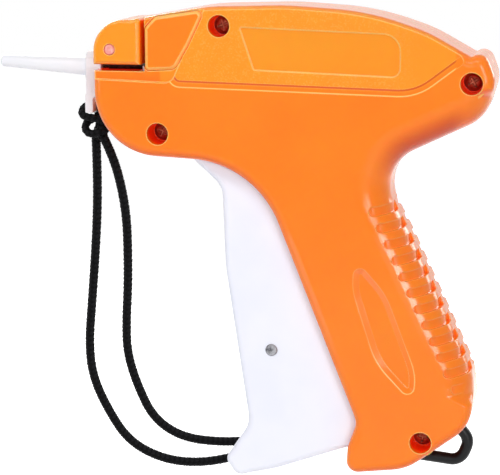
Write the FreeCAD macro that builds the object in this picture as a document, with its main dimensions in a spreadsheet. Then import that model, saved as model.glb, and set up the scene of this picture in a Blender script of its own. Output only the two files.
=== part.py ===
import FreeCAD, Part
import Sketcher
import math
import os

# Hand tool that shoots plastic tag fasteners through a hollow needle. All lengths in millimetres.
# Working frame: X runs back from the nose, Z is up from the needle axis, Y is across the two shells.
# The finished pieces are placed so that the middle of the hand grip is the origin.

SIZES = {
    # where the palm closes on the grip
    "grip_x": 88.5,
    "grip_z": -73.7,
    # housing outline, one corner and its radius after another from the nose round the back
    "nose_x": 2.9,
    "nose_z": 13.8,
    "nose_r": 9.2,
    "brow_x": 14.2,
    "brow_z": 13.9,
    "brow_r": 4.0,
    "rise_x": 36.0,
    "rise_z": 17.9,
    "rise_r": 60.0,
    "crown_x": 60.0,
    "crown_z": 18.6,
    "crown_r": 90.0,
    "slope_x": 84.0,
    "slope_z": 17.0,
    "slope_r": 80.0,
    "tail_x": 101.0,
    "tail_z": 11.3,
    "tail_r": 45.0,
    "notch_x": 113.2,
    "notch_z": 4.5,
    "notch_r": 0.8,
    "horn_top_x": 116.9,
    "horn_top_z": 6.6,
    "horn_top_r": 3.2,
    "horn_back_x": 120.3,
    "horn_back_z": -2.0,
    "horn_back_r": 8.0,
    "horn_low_x": 117.6,
    "horn_low_z": -13.2,
    "horn_low_r": 12.0,
    "throat_x": 85.5,
    "throat_z": -28.6,
    "throat_r": 12.0,
    "back_x": 95.6,
    "back_z": -47.4,
    "back_r": 50.0,
    "heel_x": 115.5,
    "heel_z": -89.3,
    "heel_r": 20.0,
    "butt_x": 115.4,
    "butt_z": -103.2,
    "butt_r": 12.0,
    "sole_x": 96.5,
    "sole_z": -117.4,
    "sole_r": 16.0,
    "toe_x": 78.3,
    "toe_z": -119.6,
    "toe_r": 3.4,
    "lip_x": 78.9,
    "lip_z": -111.5,
    "lip_r": 4.0,
    "shin_x": 81.6,
    "shin_z": -104.0,
    "shin_r": 6.0,
    "arch_x": 50.9,
    "arch_z": -27.6,
    "arch_r": 29.0,
    "chin_x": 2.9,
    "chin_z": -25.2,
    "chin_r": 19.2,
    # housing shells
    "half_width": 14.0,
    "wall": 2.2,
    "edge_round": 3.0,
    "palm_round": 9.0,
    "palm_wall": 5.4,
    "zone_depth": 0.8,
    "panel_depth": 0.45,
    "ledge_depth": 1.2,
    "zone_slope": 2.2,
    "zone_low_front": -3.3,
    "zone_low_back": -5.0,
    "zone_turn_x": 97.5,
    "zone_end_x": 112.6,
    "zone_end_z": 6.5,
    "panel_front": 46.6,
    "panel_slant": 4.2,
    "panel_back": 93.2,
    "panel_top": 12.2,
    "panel_low": -0.9,
    "panel_round": 5.0,
    "leaf_low_x": 98.4,
    "leaf_low_z": -97.0,
    "leaf_high_x": 80.6,
    "leaf_high_z": -53.8,
    "leaf_width": 12.5,
    "leaf_depth": 0.9,
    "leaf_slope": 1.8,
    "rib_x": 86.0,
    "rib_z": -40.6,
    "rib_step_x": 2.24,
    "rib_step_z": 4.70,
    "rib_count": 12.0,
    "rib_width": 2.7,
    "rib_length": 9.0,
    "rib_depth": 1.3,
    "rib_wrap": 0.9,
    "rib_slope": 0.16,
    # the four screws
    "screw_a_x": 40.5,
    "screw_a_z": 12.4,
    "screw_b_x": 22.3,
    "screw_b_z": -19.2,
    "screw_c_x": 113.6,
    "screw_c_z": -3.0,
    "screw_d_x": 100.7,
    "screw_d_z": -108.6,
    "well_r": 3.2,
    "well_depth": 7.2,
    "screw_head_r": 2.8,
    "screw_head_h": 2.0,
    "screw_r": 1.4,
    "screw_length": 12.0,
    "boss_wall": 1.3,
    # needle end
    "needle_r": 0.9,
    "needle_bore_r": 0.6,
    "needle_tip_x": -24.0,
    "needle_bevel": 3.0,
    "hub_r": 3.0,
    "hub_front": 3.4,
    "hub_back": 15.6,
    "seat_back": 15.9,
    "passage_top": 0.8,
    "passage_low": -1.05,
    "passage_width": 0.6,
    "nose_back": 17.0,
    "feed_gap": 1.4,
    "nose_proud": 0.6,
    "knife_thick": 0.5,
    "button_x": 8.0,
    "button_z": 5.2,
    "button_r": 1.6,
    "button_travel": 1.2,
    # cover over the feed wheel
    "cover_low": -0.8,
    "cover_high": 14.2,
    "cover_peak_x": 36.6,
    "cover_peak_z": 17.2,
    "cover_back_low_x": 27.4,
    "cover_thick": 2.4,
    "cover_proud": 0.5,
    "cover_bevel": 0.8,
    "cover_fit": 0.12,
    # feed wheel and its pawl
    "wheel_x": 25.6,
    "wheel_z": 6.4,
    "wheel_root_r": 5.3,
    "wheel_tip_r": 7.1,
    "wheel_width": 5.6,
    "wheel_offset": -6.2,
    "wheel_teeth": 12.0,
    "axle_r": 1.5,
    "pawl_x": 35.2,
    "pawl_z": -7.6,
    "pawl_pin_r": 1.0,
    "pawl_thick": 2.6,
    # plunger
    "slide_front": 74.0,
    "slide_back": 93.0,
    "slide_pin_x": 84.0,
    "slide_pin_r": 1.5,
    "slide_half": 5.0,
    "slide_height": 4.4,
    "tongue_half": 9.2,
    "tongue_height": 2.6,
    "lever_gap": 1.8,
    "rod_r": 0.5,
    "rod_tip_x": 19.6,
    "rail_front": 38.5,
    "rail_back": 106.0,
    "rail_height": 1.8,
    # lever and link
    "lever_x": 85.0,
    "lever_z": -67.5,
    "lever_half": 1.5,
    "lever_pin_r": 2.0,
    "lever_hub_r": 4.2,
    "lever_arm": 12.65,
    "lever_rest_deg": 15.0,
    "link_pin_r": 1.5,
    "link_slack": 0.65,
    "link_thick": 1.8,
    "link_eye_r": 3.6,
    # trigger outline
    "trig_tip_x": 29.6,
    "trig_tip_z": -25.6,
    "trig_curl_x": 40.2,
    "trig_curl_z": -35.2,
    "trig_curl_r": 7.0,
    "trig_mid_x": 41.1,
    "trig_mid_z": -59.0,
    "trig_mid_r": 60.0,
    "trig_waist_x": 48.5,
    "trig_waist_z": -107.0,
    "trig_waist_r": 8.0,
    "trig_foot_x": 41.0,
    "trig_foot_z": -118.4,
    "trig_foot_r": 2.6,
    "trig_toe_x": 44.6,
    "trig_toe_z": -123.6,
    "trig_toe_r": 3.0,
    "trig_sole_x": 57.0,
    "trig_sole_z": -120.6,
    "trig_sole_r": 30.0,
    "trig_heel_x": 82.5,
    "trig_heel_z": -111.4,
    "trig_half": 8.5,
    "trig_wall": 1.6,
    "trig_round": 2.2,
    "trig_gap": 0.8,
    "hinge_x": 87.0,
    "hinge_z": -107.0,
    "hinge_pin_r": 2.0,
    "hinge_ear_r": 5.0,
    "tpin_x": 55.4,
    "tpin_z": -83.8,
    "tpin_r": 1.8,
    "tpin_stand": 0.35,
    # return spring under the trigger's heel
    "spring_x": 93.3,
    "spring_y": -4.7,
    "spring_r": 2.0,
    "spring_wire_r": 0.35,
    "spring_turns": 5.0,
    "spring_low": -114.9,
    "spring_high": -109.1,
    "heel_lug": 1.6,
    # cap over the needle
    "cap_tip_x": -29.0,
    "cap_tip_r": 1.7,
    "cap_base_r": 2.75,
    "cap_lift": 0.35,
    "cap_drop": 1.0,
    "cap_wall": 0.45,
    "flange_front": -1.9,
    "flange_back": 0.9,
    "flange_half": 5.0,
    "flange_top": 2.2,
    "leg_top": -9.6,
    "leg_low": -14.6,
    "leg_shift": 0.8,
    # strap
    "strap_r": 1.25,
    "knot_low": -22.0,
    "knot_ring": 3.0,
    "knot_spread": 1.15,
    "knot_collar": 2.35,
    "knot_tail_x": -0.6,
    "loop_bar_r": 1.75,
    # fits
    "running": 0.06,
    "loose": 0.3,
}


class Size:
    """A length with its value and the formula that ties it to the sheet."""

    def __init__(self, value, text):
        self.value = float(value)
        self.text = text

    def _join(self, other, sign, value):
        right = other.text if isinstance(other, Size) else repr(float(other))
        return Size(value, "(%s %s %s)" % (self.text, sign, right))

    def __add__(self, other):
        return self._join(other, "+", self.value + number(other))

    def __sub__(self, other):
        return self._join(other, "-", self.value - number(other))

    def __mul__(self, other):
        return self._join(other, "*", self.value * number(other))

    def __truediv__(self, other):
        return self._join(other, "/", self.value / number(other))

    def __neg__(self):
        return Size(-self.value, "(-1 * %s)" % self.text)


def number(item):
    return item.value if isinstance(item, Size) else float(item)


def flat(value):
    """A plain number as a Size."""
    return value if isinstance(value, Size) else Size(value, repr(float(value)))


doc = FreeCAD.newDocument("tag_attacher")
sheet = doc.addObject("Spreadsheet::Sheet", "Sizes")
for row, (word, value) in enumerate(SIZES.items(), start=1):
    sheet.set("A%d" % row, word)
    sheet.set("B%d" % row, str(value))
    sheet.setAlias("B%d" % row, word)
doc.recompute()


def s(word):
    return Size(SIZES[word], "Sizes." + word)


def tie(thing, path, value):
    """Sets a property to a Size and binds it to the sheet."""
    value = flat(value)
    if "Sizes." in value.text:
        thing.setExpression(path, value.text)


ORIGIN_X = -s("grip_x")
ORIGIN_Z = -s("grip_z")
ALONG_Y = FreeCAD.Rotation(FreeCAD.Vector(1, 0, 0), -90)
ALONG_X = FreeCAD.Rotation(FreeCAD.Vector(0, 1, 0), 90)


def place(thing, x=0.0, y=0.0, z=0.0, turn=None):
    """Puts a piece at x, y, z of the working frame, seen from the grip's origin."""
    x = ORIGIN_X + x
    z = ORIGIN_Z + z
    y = flat(y)
    spot = FreeCAD.Vector(x.value, y.value, z.value)
    thing.Placement = FreeCAD.Placement(spot, turn or FreeCAD.Rotation())
    tie(thing, ".Placement.Base.x", x)
    tie(thing, ".Placement.Base.y", y)
    tie(thing, ".Placement.Base.z", z)
    return thing


# ---------------------------------------------------------------- sketches and features


def new_body(label, x=0.0, y=0.0, z=0.0):
    body = doc.addObject("PartDesign::Body", "Body_" + label)
    body.Label = label
    return place(body, x, y, z)


def origin_plane(body, role):
    for item in body.Origin.OriginFeatures:
        if item.Role == role:
            return item
    raise ValueError(role)


def new_sketch(body, role, offset):
    """A sketch on one of the body's own planes, moved by offset along that plane's normal."""
    sketch = body.newObject("Sketcher::SketchObject", "Sketch_%d" % len(doc.Objects))
    sketch.AttachmentSupport = [(origin_plane(body, role), "")]
    sketch.MapMode = "FlatFace"
    offset = flat(offset)
    sketch.AttachmentOffset = FreeCAD.Placement(FreeCAD.Vector(0, 0, offset.value), FreeCAD.Rotation())
    tie(sketch, ".AttachmentOffset.Base.z", offset)
    return sketch


def hold(sketch, wanted):
    """Adds all constraints in one go, then binds the driving ones to the sheet."""
    first = sketch.ConstraintCount
    sketch.addConstraint([constraint for constraint, value in wanted])
    for index, (constraint, value) in enumerate(wanted, start=first):
        if value is not None:
            tie(sketch, "Constraints[%d]" % index, value)


def at_point(geo, spot, x, y):
    """Driving dimensions that hold a sketch point at x, y."""
    x = flat(x)
    y = flat(y)
    return [
        (Sketcher.Constraint("DistanceX", -1, 1, geo, spot, x.value), x),
        (Sketcher.Constraint("DistanceY", -1, 1, geo, spot, y.value), y),
    ]


def outline(sketch, corners):
    """Straight runs joined by tangent arcs through corners (x, y, radius); radius 0 is sharp."""
    count = len(corners)
    spots = [FreeCAD.Vector(number(x), number(y), 0) for x, y, r in corners]
    starts = []
    ends = []
    arcs = []
    for i in range(count):
        here = spots[i]
        radius = number(corners[i][2])
        if radius <= 0:
            starts.append(here)
            ends.append(here)
            arcs.append(None)
            continue
        back = (spots[i - 1] - here).normalize()
        ahead = (spots[(i + 1) % count] - here).normalize()
        angle = back.getAngle(ahead)
        reach = radius / math.tan(angle / 2)
        middle = here + (back + ahead).normalize() * (radius / math.sin(angle / 2))
        first = here + back * reach
        last = here + ahead * reach
        turn_left = back.cross(ahead).z < 0
        low, high = (first, last) if turn_left else (last, first)
        a0 = math.atan2(low.y - middle.y, low.x - middle.x)
        a1 = math.atan2(high.y - middle.y, high.x - middle.x)
        circle = Part.Circle(middle, FreeCAD.Vector(0, 0, 1), radius)
        arcs.append((Part.ArcOfCircle(circle, a0, a1), 1 if turn_left else 2))
        starts.append(first)
        ends.append(last)
    lines = []
    for i in range(count):
        lines.append(sketch.addGeometry(Part.LineSegment(ends[i], starts[(i + 1) % count]), False))
    wanted = []
    for i in range(count):
        x, y, radius = corners[i]
        before = lines[i - 1]
        after = lines[i]
        if arcs[i] is None:
            wanted.append((Sketcher.Constraint("Coincident", before, 2, after, 1), None))
            wanted += at_point(after, 1, x, y)
            continue
        arc, near = arcs[i]
        geo = sketch.addGeometry(arc, False)
        apex = sketch.addGeometry(Part.Point(spots[i]), True)
        wanted.append((Sketcher.Constraint("Tangent", before, 2, geo, near), None))
        wanted.append((Sketcher.Constraint("Tangent", geo, 3 - near, after, 1), None))
        wanted.append((Sketcher.Constraint("PointOnObject", apex, 1, before), None))
        wanted.append((Sketcher.Constraint("PointOnObject", apex, 1, after), None))
        wanted += at_point(apex, 1, x, y)
        radius = flat(radius)
        wanted.append((Sketcher.Constraint("Radius", geo, radius.value), radius))
    hold(sketch, wanted)
    return sketch


def ring(sketch, x, y, radius):
    radius = flat(radius)
    centre = FreeCAD.Vector(number(x), number(y), 0)
    geo = sketch.addGeometry(Part.Circle(centre, FreeCAD.Vector(0, 0, 1), radius.value), False)
    wanted = at_point(geo, 3, x, y)
    wanted.append((Sketcher.Constraint("Radius", geo, radius.value), radius))
    hold(sketch, wanted)
    return sketch


def extrude(body, sketch, length, kind):
    """A pad or pocket that reaches half its length to each side of its sketch."""
    length = flat(length)
    feature = body.newObject("PartDesign::" + kind, "%s_%d" % (kind, len(doc.Objects)))
    feature.Profile = sketch
    feature.SideType = "Symmetric"
    feature.Length = length.value
    feature.Refine = False
    tie(feature, "Length", length)
    sketch.Visibility = False
    return feature


def across(body, y0, y1):
    """A sketch in the XZ plane half way between y0 and y1."""
    return new_sketch(body, "XZ_Plane", (flat(y0) + y1) * -0.5)


def span(y0, y1):
    return flat(y1) - y0


def add_plate(body, corners, y0, y1, kind="Pad"):
    return extrude(body, outline(across(body, y0, y1), corners), span(y0, y1), kind)


def add_disc(body, x, z, radius, y0, y1, kind="Pad"):
    return extrude(body, ring(across(body, y0, y1), x, z, radius), span(y0, y1), kind)


def add_rod(body, y, z, radius, x0, x1, kind="Pad"):
    """A round bar or bore along X."""
    sketch = ring(new_sketch(body, "YZ_Plane", (flat(x0) + x1) * 0.5), y, z, radius)
    return extrude(body, sketch, span(x0, x1), kind)


def box_corners(x0, z0, x1, z1, radius=0.0):
    return [(x0, z0, radius), (x1, z0, radius), (x1, z1, radius), (x0, z1, radius)]


def dress(body, feature, kind, size, chosen):
    """Rounds or bevels the edges of a feature that the test picks."""
    doc.recompute()
    names = []
    for index, edge in enumerate(feature.Shape.Edges, start=1):
        if chosen(edge):
            names.append("Edge%d" % index)
    size = flat(size)
    dressed = body.newObject("PartDesign::" + kind, "%s_%d" % (kind, len(doc.Objects)))
    dressed.Base = (feature, names)
    word = "Radius" if kind == "Fillet" else "Size"
    setattr(dressed, word, size.value)
    tie(dressed, word, size)
    feature.Visibility = False
    return dressed


def at_y(value):
    """Picks edges that lie in the plane y = value."""
    level = number(value)

    def test(edge):
        box = edge.BoundBox
        return abs(box.YMin - level) < 1e-4 and abs(box.YMax - level) < 1e-4

    return test


def at_x(value):
    """Picks edges that lie in the plane x = value."""
    level = number(value)

    def test(edge):
        box = edge.BoundBox
        return abs(box.XMin - level) < 1e-4 and abs(box.XMax - level) < 1e-4

    return test


def inset(corners, depth):
    """The same outline moved inwards by depth, with its radii made to match."""
    depth = flat(depth)
    count = len(corners)
    spots = [FreeCAD.Vector(number(x), number(y), 0) for x, y, r in corners]
    area = sum(spots[i - 1].cross(spots[i]).z for i in range(count))
    side = 1.0 if area > 0 else -1.0
    result = []
    for i in range(count):
        come = (spots[i] - spots[i - 1]).normalize()
        leave = (spots[(i + 1) % count] - spots[i]).normalize()
        n0 = FreeCAD.Vector(-come.y, come.x, 0) * side
        n1 = FreeCAD.Vector(-leave.y, leave.x, 0) * side
        push = (n0 + n1) * (1.0 / (1.0 + n0.dot(n1)))
        x, y, radius = corners[i]
        convex = come.cross(leave).z * side > 0
        radius = flat(radius)
        if radius.value <= 0:
            fresh = flat(0.0)
        elif convex:
            fresh = radius - depth if radius.value > depth.value + 0.4 else flat(0.4)
        else:
            fresh = radius + depth
        result.append((flat(x) + depth * push.x, flat(y) + depth * push.y, fresh))
    return result


def cylinder(name, radius, height, x=0.0, y=0.0, z=0.0, turn=None):
    solid = doc.addObject("Part::Cylinder", name)
    for word, value in (("Radius", flat(radius)), ("Height", flat(height))):
        setattr(solid, word, value.value)
        tie(solid, word, value)
    return place(solid, x, y, z, turn)


def pin(label, x, z, radius, y0, y1, bevel=0.3):
    """A plain steel pin across the tool with both ends bevelled."""
    body = new_body(label)
    shaft = add_disc(body, x, z, radius, y0, y1)
    low = at_y(y0)
    high = at_y(y1)
    dress(body, shaft, "Chamfer", bevel, lambda edge: low(edge) or high(edge))
    return body


def corner(name):
    return (s(name + "_x"), s(name + "_z"), s(name + "_r"))


# ---------------------------------------------------------------- housing

OUTLINE = [
    corner(name)
    for name in (
        "nose", "brow", "rise", "crown", "slope", "tail", "notch", "horn_top", "horn_back", "horn_low",
        "throat", "back", "heel", "butt", "sole", "toe", "lip", "shin", "arch", "chin",
    )
]
SIMPLE = [c for i, c in enumerate(OUTLINE) if i not in (6, 7, 16)]
CAVITY = inset(SIMPLE, s("wall"))
# under the deep rounding of the palm side the inside keeps further away, from horn to butt
PALM_CORNERS = (7, 8, 9, 10, 11)
OUTER_CAVITY = [
    deep if i in PALM_CORNERS else plain
    for i, (plain, deep) in enumerate(zip(CAVITY, inset(SIMPLE, s("palm_wall"))))
]
HALF = s("half_width")
INNER = HALF - s("wall")
SCREWS = [(s("screw_%s_x" % word), s("screw_%s_z" % word)) for word in "abcd"]

# slanted ledge that runs from the nose under the cover and up behind it
LEDGE = [
    (s("nose_x") - 4.0, s("passage_low") - 2.2, 0.0),
    (s("cover_back_low_x") - 1.0, s("passage_low") - 3.2, 3.0),
    (s("cover_back_low_x") + 3.9, s("cover_low") + 7.5, 12.0),
    (s("cover_peak_x") + 1.6, s("cover_peak_z") + 4.0, 0.0),
    (s("nose_x") - 4.0, s("cover_peak_z") + 4.0, 0.0),
]
ZONE = [
    (s("cover_back_low_x") - 0.6, s("zone_low_front"), 1.5),
    (s("zone_turn_x"), s("zone_low_back"), 14.0),
    (s("zone_end_x"), s("zone_end_z"), 3.0),
    (s("tail_x"), s("tail_z") + 6.0, 0.0),
    (s("slope_x"), s("slope_z") + 6.0, 0.0),
    (s("cover_peak_x") + 1.6, s("cover_peak_z") + 6.0, 0.0),
    (s("cover_back_low_x") + 3.9, s("cover_low") + 7.5, 12.0),
]
PANEL = [
    (s("panel_front") + s("panel_slant"), s("panel_low") + 0.8, 0.5),
    (s("panel_back"), s("panel_low") - 0.7, s("panel_round") * 0.5),
    (s("panel_back"), s("panel_top") - 1.6, s("panel_round")),
    (s("panel_front"), s("panel_top"), 0.5),
]
# where the trigger passes between the shells
MOUTH = [
    (s("trig_tip_x") - 1.0, s("chin_z") - 6.0, 0.0),
    (s("trig_tip_x") - 1.0, s("trig_tip_z") + 1.6, 0.0),
    (s("arch_x") - 3.0, s("trig_tip_z") + 1.6, 0.0),
    (s("arch_x") + 13.2, s("arch_z") - 22.0, 4.0),
    (s("shin_x") + 3.4, s("shin_z") + 3.0, 4.0),
    (s("hinge_x") + 1.5, s("hinge_z") - 3.4, 2.0),
    (s("trig_sole_x") + 10.0, s("trig_sole_z") + 1.8, 0.0),
    (s("trig_sole_x"), s("trig_sole_z") + 12.0, 0.0),
    (s("trig_mid_x"), s("trig_mid_z"), 0.0),
]
LEAF_DX = s("leaf_high_x") - s("leaf_low_x")
LEAF_DZ = s("leaf_high_z") - s("leaf_low_z")
LEAF_SIDE_X = s("leaf_width") * 0.46
LEAF_SIDE_Z = s("leaf_width") * 0.19
LEAF = [
    (s("leaf_low_x"), s("leaf_low_z"), 2.2),
    (s("leaf_low_x") + LEAF_DX * 0.33 - LEAF_SIDE_X * 0.95, s("leaf_low_z") + LEAF_DZ * 0.33 - LEAF_SIDE_Z, 22.0),
    (s("leaf_low_x") + LEAF_DX * 0.83 - LEAF_SIDE_X * 0.62, s("leaf_low_z") + LEAF_DZ * 0.83 - LEAF_SIDE_Z, 16.0),
    (s("leaf_high_x"), s("leaf_high_z"), 1.6),
    (s("leaf_low_x") + LEAF_DX * 0.70 + LEAF_SIDE_X * 0.72, s("leaf_low_z") + LEAF_DZ * 0.70 + LEAF_SIDE_Z, 22.0),
    (s("leaf_low_x") + LEAF_DX * 0.16 + LEAF_SIDE_X * 0.62, s("leaf_low_z") + LEAF_DZ * 0.16 + LEAF_SIDE_Z, 16.0),
]


def behind_hand(spot):
    """Whether a point of the outline lies between the horn's underside and the butt."""
    deep = spot.x > number(s("throat_x")) + 3.0
    return deep and number(s("butt_z")) + 2.0 < spot.z < number(s("horn_low_z"))


def rounded_plate(label, y0, y1, level):
    """The outline as a plate, its outside rim rounded over more where the palm lies on it."""
    blank = doc.addObject("PartDesign::Body", "Blank_" + label)
    plate = add_plate(blank, OUTLINE, y0, y1)
    doc.recompute()
    on_rim = at_y(level)
    rows = []
    for index, edge in enumerate(plate.Shape.Edges, start=1):
        if on_rim(edge):
            ends = (edge.valueAt(edge.FirstParameter), edge.valueAt(edge.LastParameter))
            words = ["palm_round" if behind_hand(spot) else "edge_round" for spot in ends]
            rows.append((index, SIZES[words[0]], SIZES[words[1]]))
    rim = doc.addObject("Part::Fillet", "Rim_" + label)
    rim.Base = blank
    rim.Edges = rows
    return rim


def sloped_pocket(body, floor, spread, y_floor, y_mouth):
    """A recess with a sloping border: its floor outline grows by spread up to the mouth."""
    low = outline(new_sketch(body, "XZ_Plane", flat(y_floor) * -1.0), floor)
    high = outline(new_sketch(body, "XZ_Plane", flat(y_mouth) * -1.0), inset(floor, spread * -1.0))
    cut = body.newObject("PartDesign::SubtractiveLoft", "Recess_%d" % len(doc.Objects))
    cut.Profile = low
    cut.Sections = [high]
    cut.Ruled = True
    cut.Refine = False
    return cut


def wrapped_slot(body, side):
    """The part of a finger slot that follows the rim, drawn in the plane across the slot's run."""
    lean = math.pi / 2 - math.atan(SIZES["rib_slope"])
    run_x = math.sin(lean)
    run_z = math.cos(lean)
    line_x = s("heel_x") - s("back_x")
    line_z = s("heel_z") - s("back_z")
    to_x = s("back_x") - s("rib_x")
    to_z = s("back_z") - s("rib_z")
    edge = (to_x * line_z - to_z * line_x) / (line_z * run_x - line_x * run_z)
    sketch = new_sketch(body, "YZ_Plane", 0.0)
    turn = FreeCAD.Rotation(FreeCAD.Vector(1.0, 0.0, 0.0), math.degrees(lean))
    sketch.AttachmentOffset = FreeCAD.Placement(FreeCAD.Vector(0.0, SIZES["rib_z"], SIZES["rib_x"]), turn)
    tie(sketch, ".AttachmentOffset.Base.y", s("rib_z"))
    tie(sketch, ".AttachmentOffset.Base.z", s("rib_x"))
    floor = edge - s("rib_wrap")
    face = (HALF - s("rib_wrap")) * side
    out = (HALF + 3.0) * side
    seam = flat(2.0) * side
    corners = [
        (out, flat(0.3), 0.0),
        (face, flat(0.3), 0.0),
        (face, floor, s("palm_round") - s("rib_wrap")),
        (seam, floor, 0.0),
        (seam, edge + 3.0, 0.0),
        (out, edge + 3.0, 0.0),
    ]
    return extrude(body, outline(sketch, corners), s("rib_width"), "Pocket")


def shell(label, side):
    """One moulded half: outline, rounded rim, hollow inside, bosses and outside relief."""
    body = new_body(label)
    near = side < 0

    def reach(a, b):
        """Y range from depth a to depth b, counted from the parting plane."""
        a = flat(a)
        b = flat(b)
        return (-b, -a) if near else (a, b)

    body.BaseFeature = rounded_plate(label, *reach(0.0, HALF), HALF * side)
    add_plate(body, CAVITY, *reach(-1.0, HALF - s("palm_wall")), "Pocket")
    add_plate(body, OUTER_CAVITY, *reach(-1.0, INNER), "Pocket")
    over = 0.6
    sunk = HALF - s("zone_depth")
    spread = s("zone_slope") * (s("zone_depth") + over) / s("zone_depth")
    sloped_pocket(body, ZONE, spread, sunk * side, (HALF + over) * side)
    add_plate(body, PANEL, *reach(sunk - s("panel_depth"), HALF), "Pocket")
    spread = s("leaf_slope") * (s("leaf_depth") + over) / s("leaf_depth")
    sloped_pocket(body, inset(LEAF, s("leaf_slope")), spread, (HALF - s("leaf_depth")) * side, (HALF + over) * side)
    # finger slots up the back of the grip: a round inner end, then round the rim to the seam
    half_rib = s("rib_width") / 2
    rise = s("rib_length") * s("rib_slope")
    slot = [
        (s("rib_x") - half_rib, s("rib_z") - half_rib, half_rib * 0.98),
        (s("rib_x") + s("rib_length"), s("rib_z") - half_rib + rise, 0.4),
        (s("rib_x") + s("rib_length"), s("rib_z") + half_rib + rise, 0.4),
        (s("rib_x") - half_rib, s("rib_z") + half_rib, half_rib * 0.98),
    ]
    rib_sketch = across(body, *reach(HALF - s("rib_depth"), HALF + 1.0))
    outline(rib_sketch, slot)
    step_end = (s("rib_x") + s("rib_step_x") * 3.0, s("rib_z") - s("rib_step_z") * 3.0)
    first = FreeCAD.Vector(SIZES["rib_x"], SIZES["rib_z"], 0)
    last = FreeCAD.Vector(number(step_end[0]), number(step_end[1]), 0)
    guide = rib_sketch.addGeometry(Part.LineSegment(first, last), True)
    hold(rib_sketch, at_point(guide, 1, s("rib_x"), s("rib_z")) + at_point(guide, 2, *step_end))
    rib = extrude(body, rib_sketch, s("rib_depth") + 1.0, "Pocket")
    wrap = wrapped_slot(body, side)
    doc.recompute()
    ribs = body.newObject("PartDesign::LinearPattern", "Ribs_" + label)
    ribs.Originals = [rib, wrap]
    ribs.Direction = (rib_sketch, ["Axis0"])
    gap = math.hypot(SIZES["rib_step_x"], SIZES["rib_step_z"])
    ribs.Length = gap * (SIZES["rib_count"] - 1.0)
    ribs.Occurrences = int(SIZES["rib_count"])
    body.Tip = ribs
    doc.recompute()
    # front of the handle is open for the trigger
    opening = s("trig_half") + s("trig_gap")
    add_plate(body, MOUTH, *reach(-1.0, opening), "Pocket")
    # screw bosses
    for x, z in SCREWS:
        wide = s("well_r") + s("boss_wall") if near else s("screw_r") + s("boss_wall") * 1.7
        add_disc(body, x, z, wide, *reach(0.0, INNER + 0.4))
    # trigger hinge and lever bosses
    ear = s("trig_half") + s("loose")
    add_disc(body, s("hinge_x"), s("hinge_z"), s("hinge_pin_r") + 2.2, *reach(ear, INNER + 0.4))
    add_disc(body, s("lever_x"), s("lever_z"), s("lever_pin_r") + 1.8, *reach(s("lever_half") + 0.6, INNER + 0.4))
    add_disc(body, s("hinge_x"), s("hinge_z"), s("hinge_pin_r") + s("running"), *reach(0.0, INNER - 0.8), "Pocket")
    add_disc(body, s("lever_x"), s("lever_z"), s("lever_pin_r") + s("running"), *reach(0.0, INNER - 0.8), "Pocket")
    # two rails that the plunger's tongue runs between
    for sign in (1.0, -1.0):
        level = (s("tongue_height") + s("loose") * 0.7) * sign
        far = level + s("rail_height") * sign
        low, high = (level, far) if sign > 0 else (far, level)
        rail = box_corners(s("rail_front"), low, s("rail_back"), high)
        add_plate(body, rail, *reach(s("slide_half") + 1.0, INNER + 0.4))
    if near:
        # seat of the needle hub under the passage
        seat = box_corners(s("nose_x") + 0.8, s("passage_low") - 4.6, s("seat_back"), s("passage_low") - 0.2)
        add_plate(body, seat, *reach(0.0, INNER + 0.4))
        past_wheel = s("wheel_width") / 2 - s("wheel_offset") + 0.4
        add_disc(body, s("pawl_x"), s("pawl_z"), s("pawl_pin_r") + 1.2, *reach(past_wheel, INNER + 0.4))
        add_disc(body, s("pawl_x"), s("pawl_z"), s("pawl_pin_r") + s("running"), *reach(0.0, INNER - 0.4), "Pocket")
        add_plate(body, LEDGE, *reach(HALF - s("ledge_depth"), HALF + 1.0), "Pocket")
        # open corner for the nose block and window for the feed cover
        corner_cut = box_corners(s("nose_x") - 4.0, s("passage_low"), s("nose_back") + s("feed_gap"), s("nose_z") + 6.0)
        add_plate(body, corner_cut, *reach(-1.0, HALF + 1.0), "Pocket")
        add_plate(body, inset(COVER, s("cover_fit") * -1.0), *reach(s("wheel_root_r"), HALF + 1.0), "Pocket")
        for x, z in SCREWS:
            seat_of_head = HALF - s("well_depth") - s("screw_head_h")
            add_disc(body, x, z, s("well_r"), *reach(seat_of_head, HALF + 1.0), "Pocket")
            add_disc(body, x, z, s("screw_r") + 0.2, *reach(-1.0, HALF), "Pocket")
    else:
        seat = [
            (s("nose_x") + 0.8, s("passage_low") - 4.6, 0.0),
            (s("seat_back"), s("passage_low") - 4.6, 0.0),
            (s("seat_back"), s("nose_z") - 1.0, 0.0),
            (s("nose_x") + 0.8, s("nose_z") - 1.0, s("nose_r") - 1.0),
        ]
        add_plate(body, seat, *reach(0.0, INNER + 0.4))
        # boss of the feed wheel's axle
        axle_from = flat(0.0) + s("wheel_offset") + s("wheel_width") / 2 + 0.3
        boss = s("axle_r") + 1.1
        square = box_corners(s("wheel_x") - boss, s("wheel_z") - boss, s("wheel_x") + boss, s("wheel_z") + boss, 2.4)
        add_plate(body, square, axle_from, INNER + 0.4)
        add_disc(body, s("wheel_x"), s("wheel_z"), s("axle_r") + s("running"), axle_from - 1.0, INNER - 0.6, "Pocket")
        # strap anchor beside the hinge and its way in
        way = box_corners(s("toe_x") - 5.0, s("toe_z") + 3.4, s("hinge_x") - 1.8, s("hinge_z") - 1.4)
        add_plate(body, way, *reach(s("trig_half") - 1.0, INNER), "Pocket")
        stop = box_corners(s("hinge_x") - 1.8, s("toe_z") + 3.4, s("hinge_x") + 2.0, s("hinge_z"))
        add_plate(body, stop, *reach(ear, INNER + 0.4))
        add_disc(body, s("hinge_x"), s("hinge_z"), s("hinge_pin_r") + s("running"), *reach(0.0, INNER - 0.8), "Pocket")
        for x, z in SCREWS:
            add_disc(body, x, z, s("screw_r") + s("running"), *reach(-1.0, s("screw_length")), "Pocket")
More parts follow.
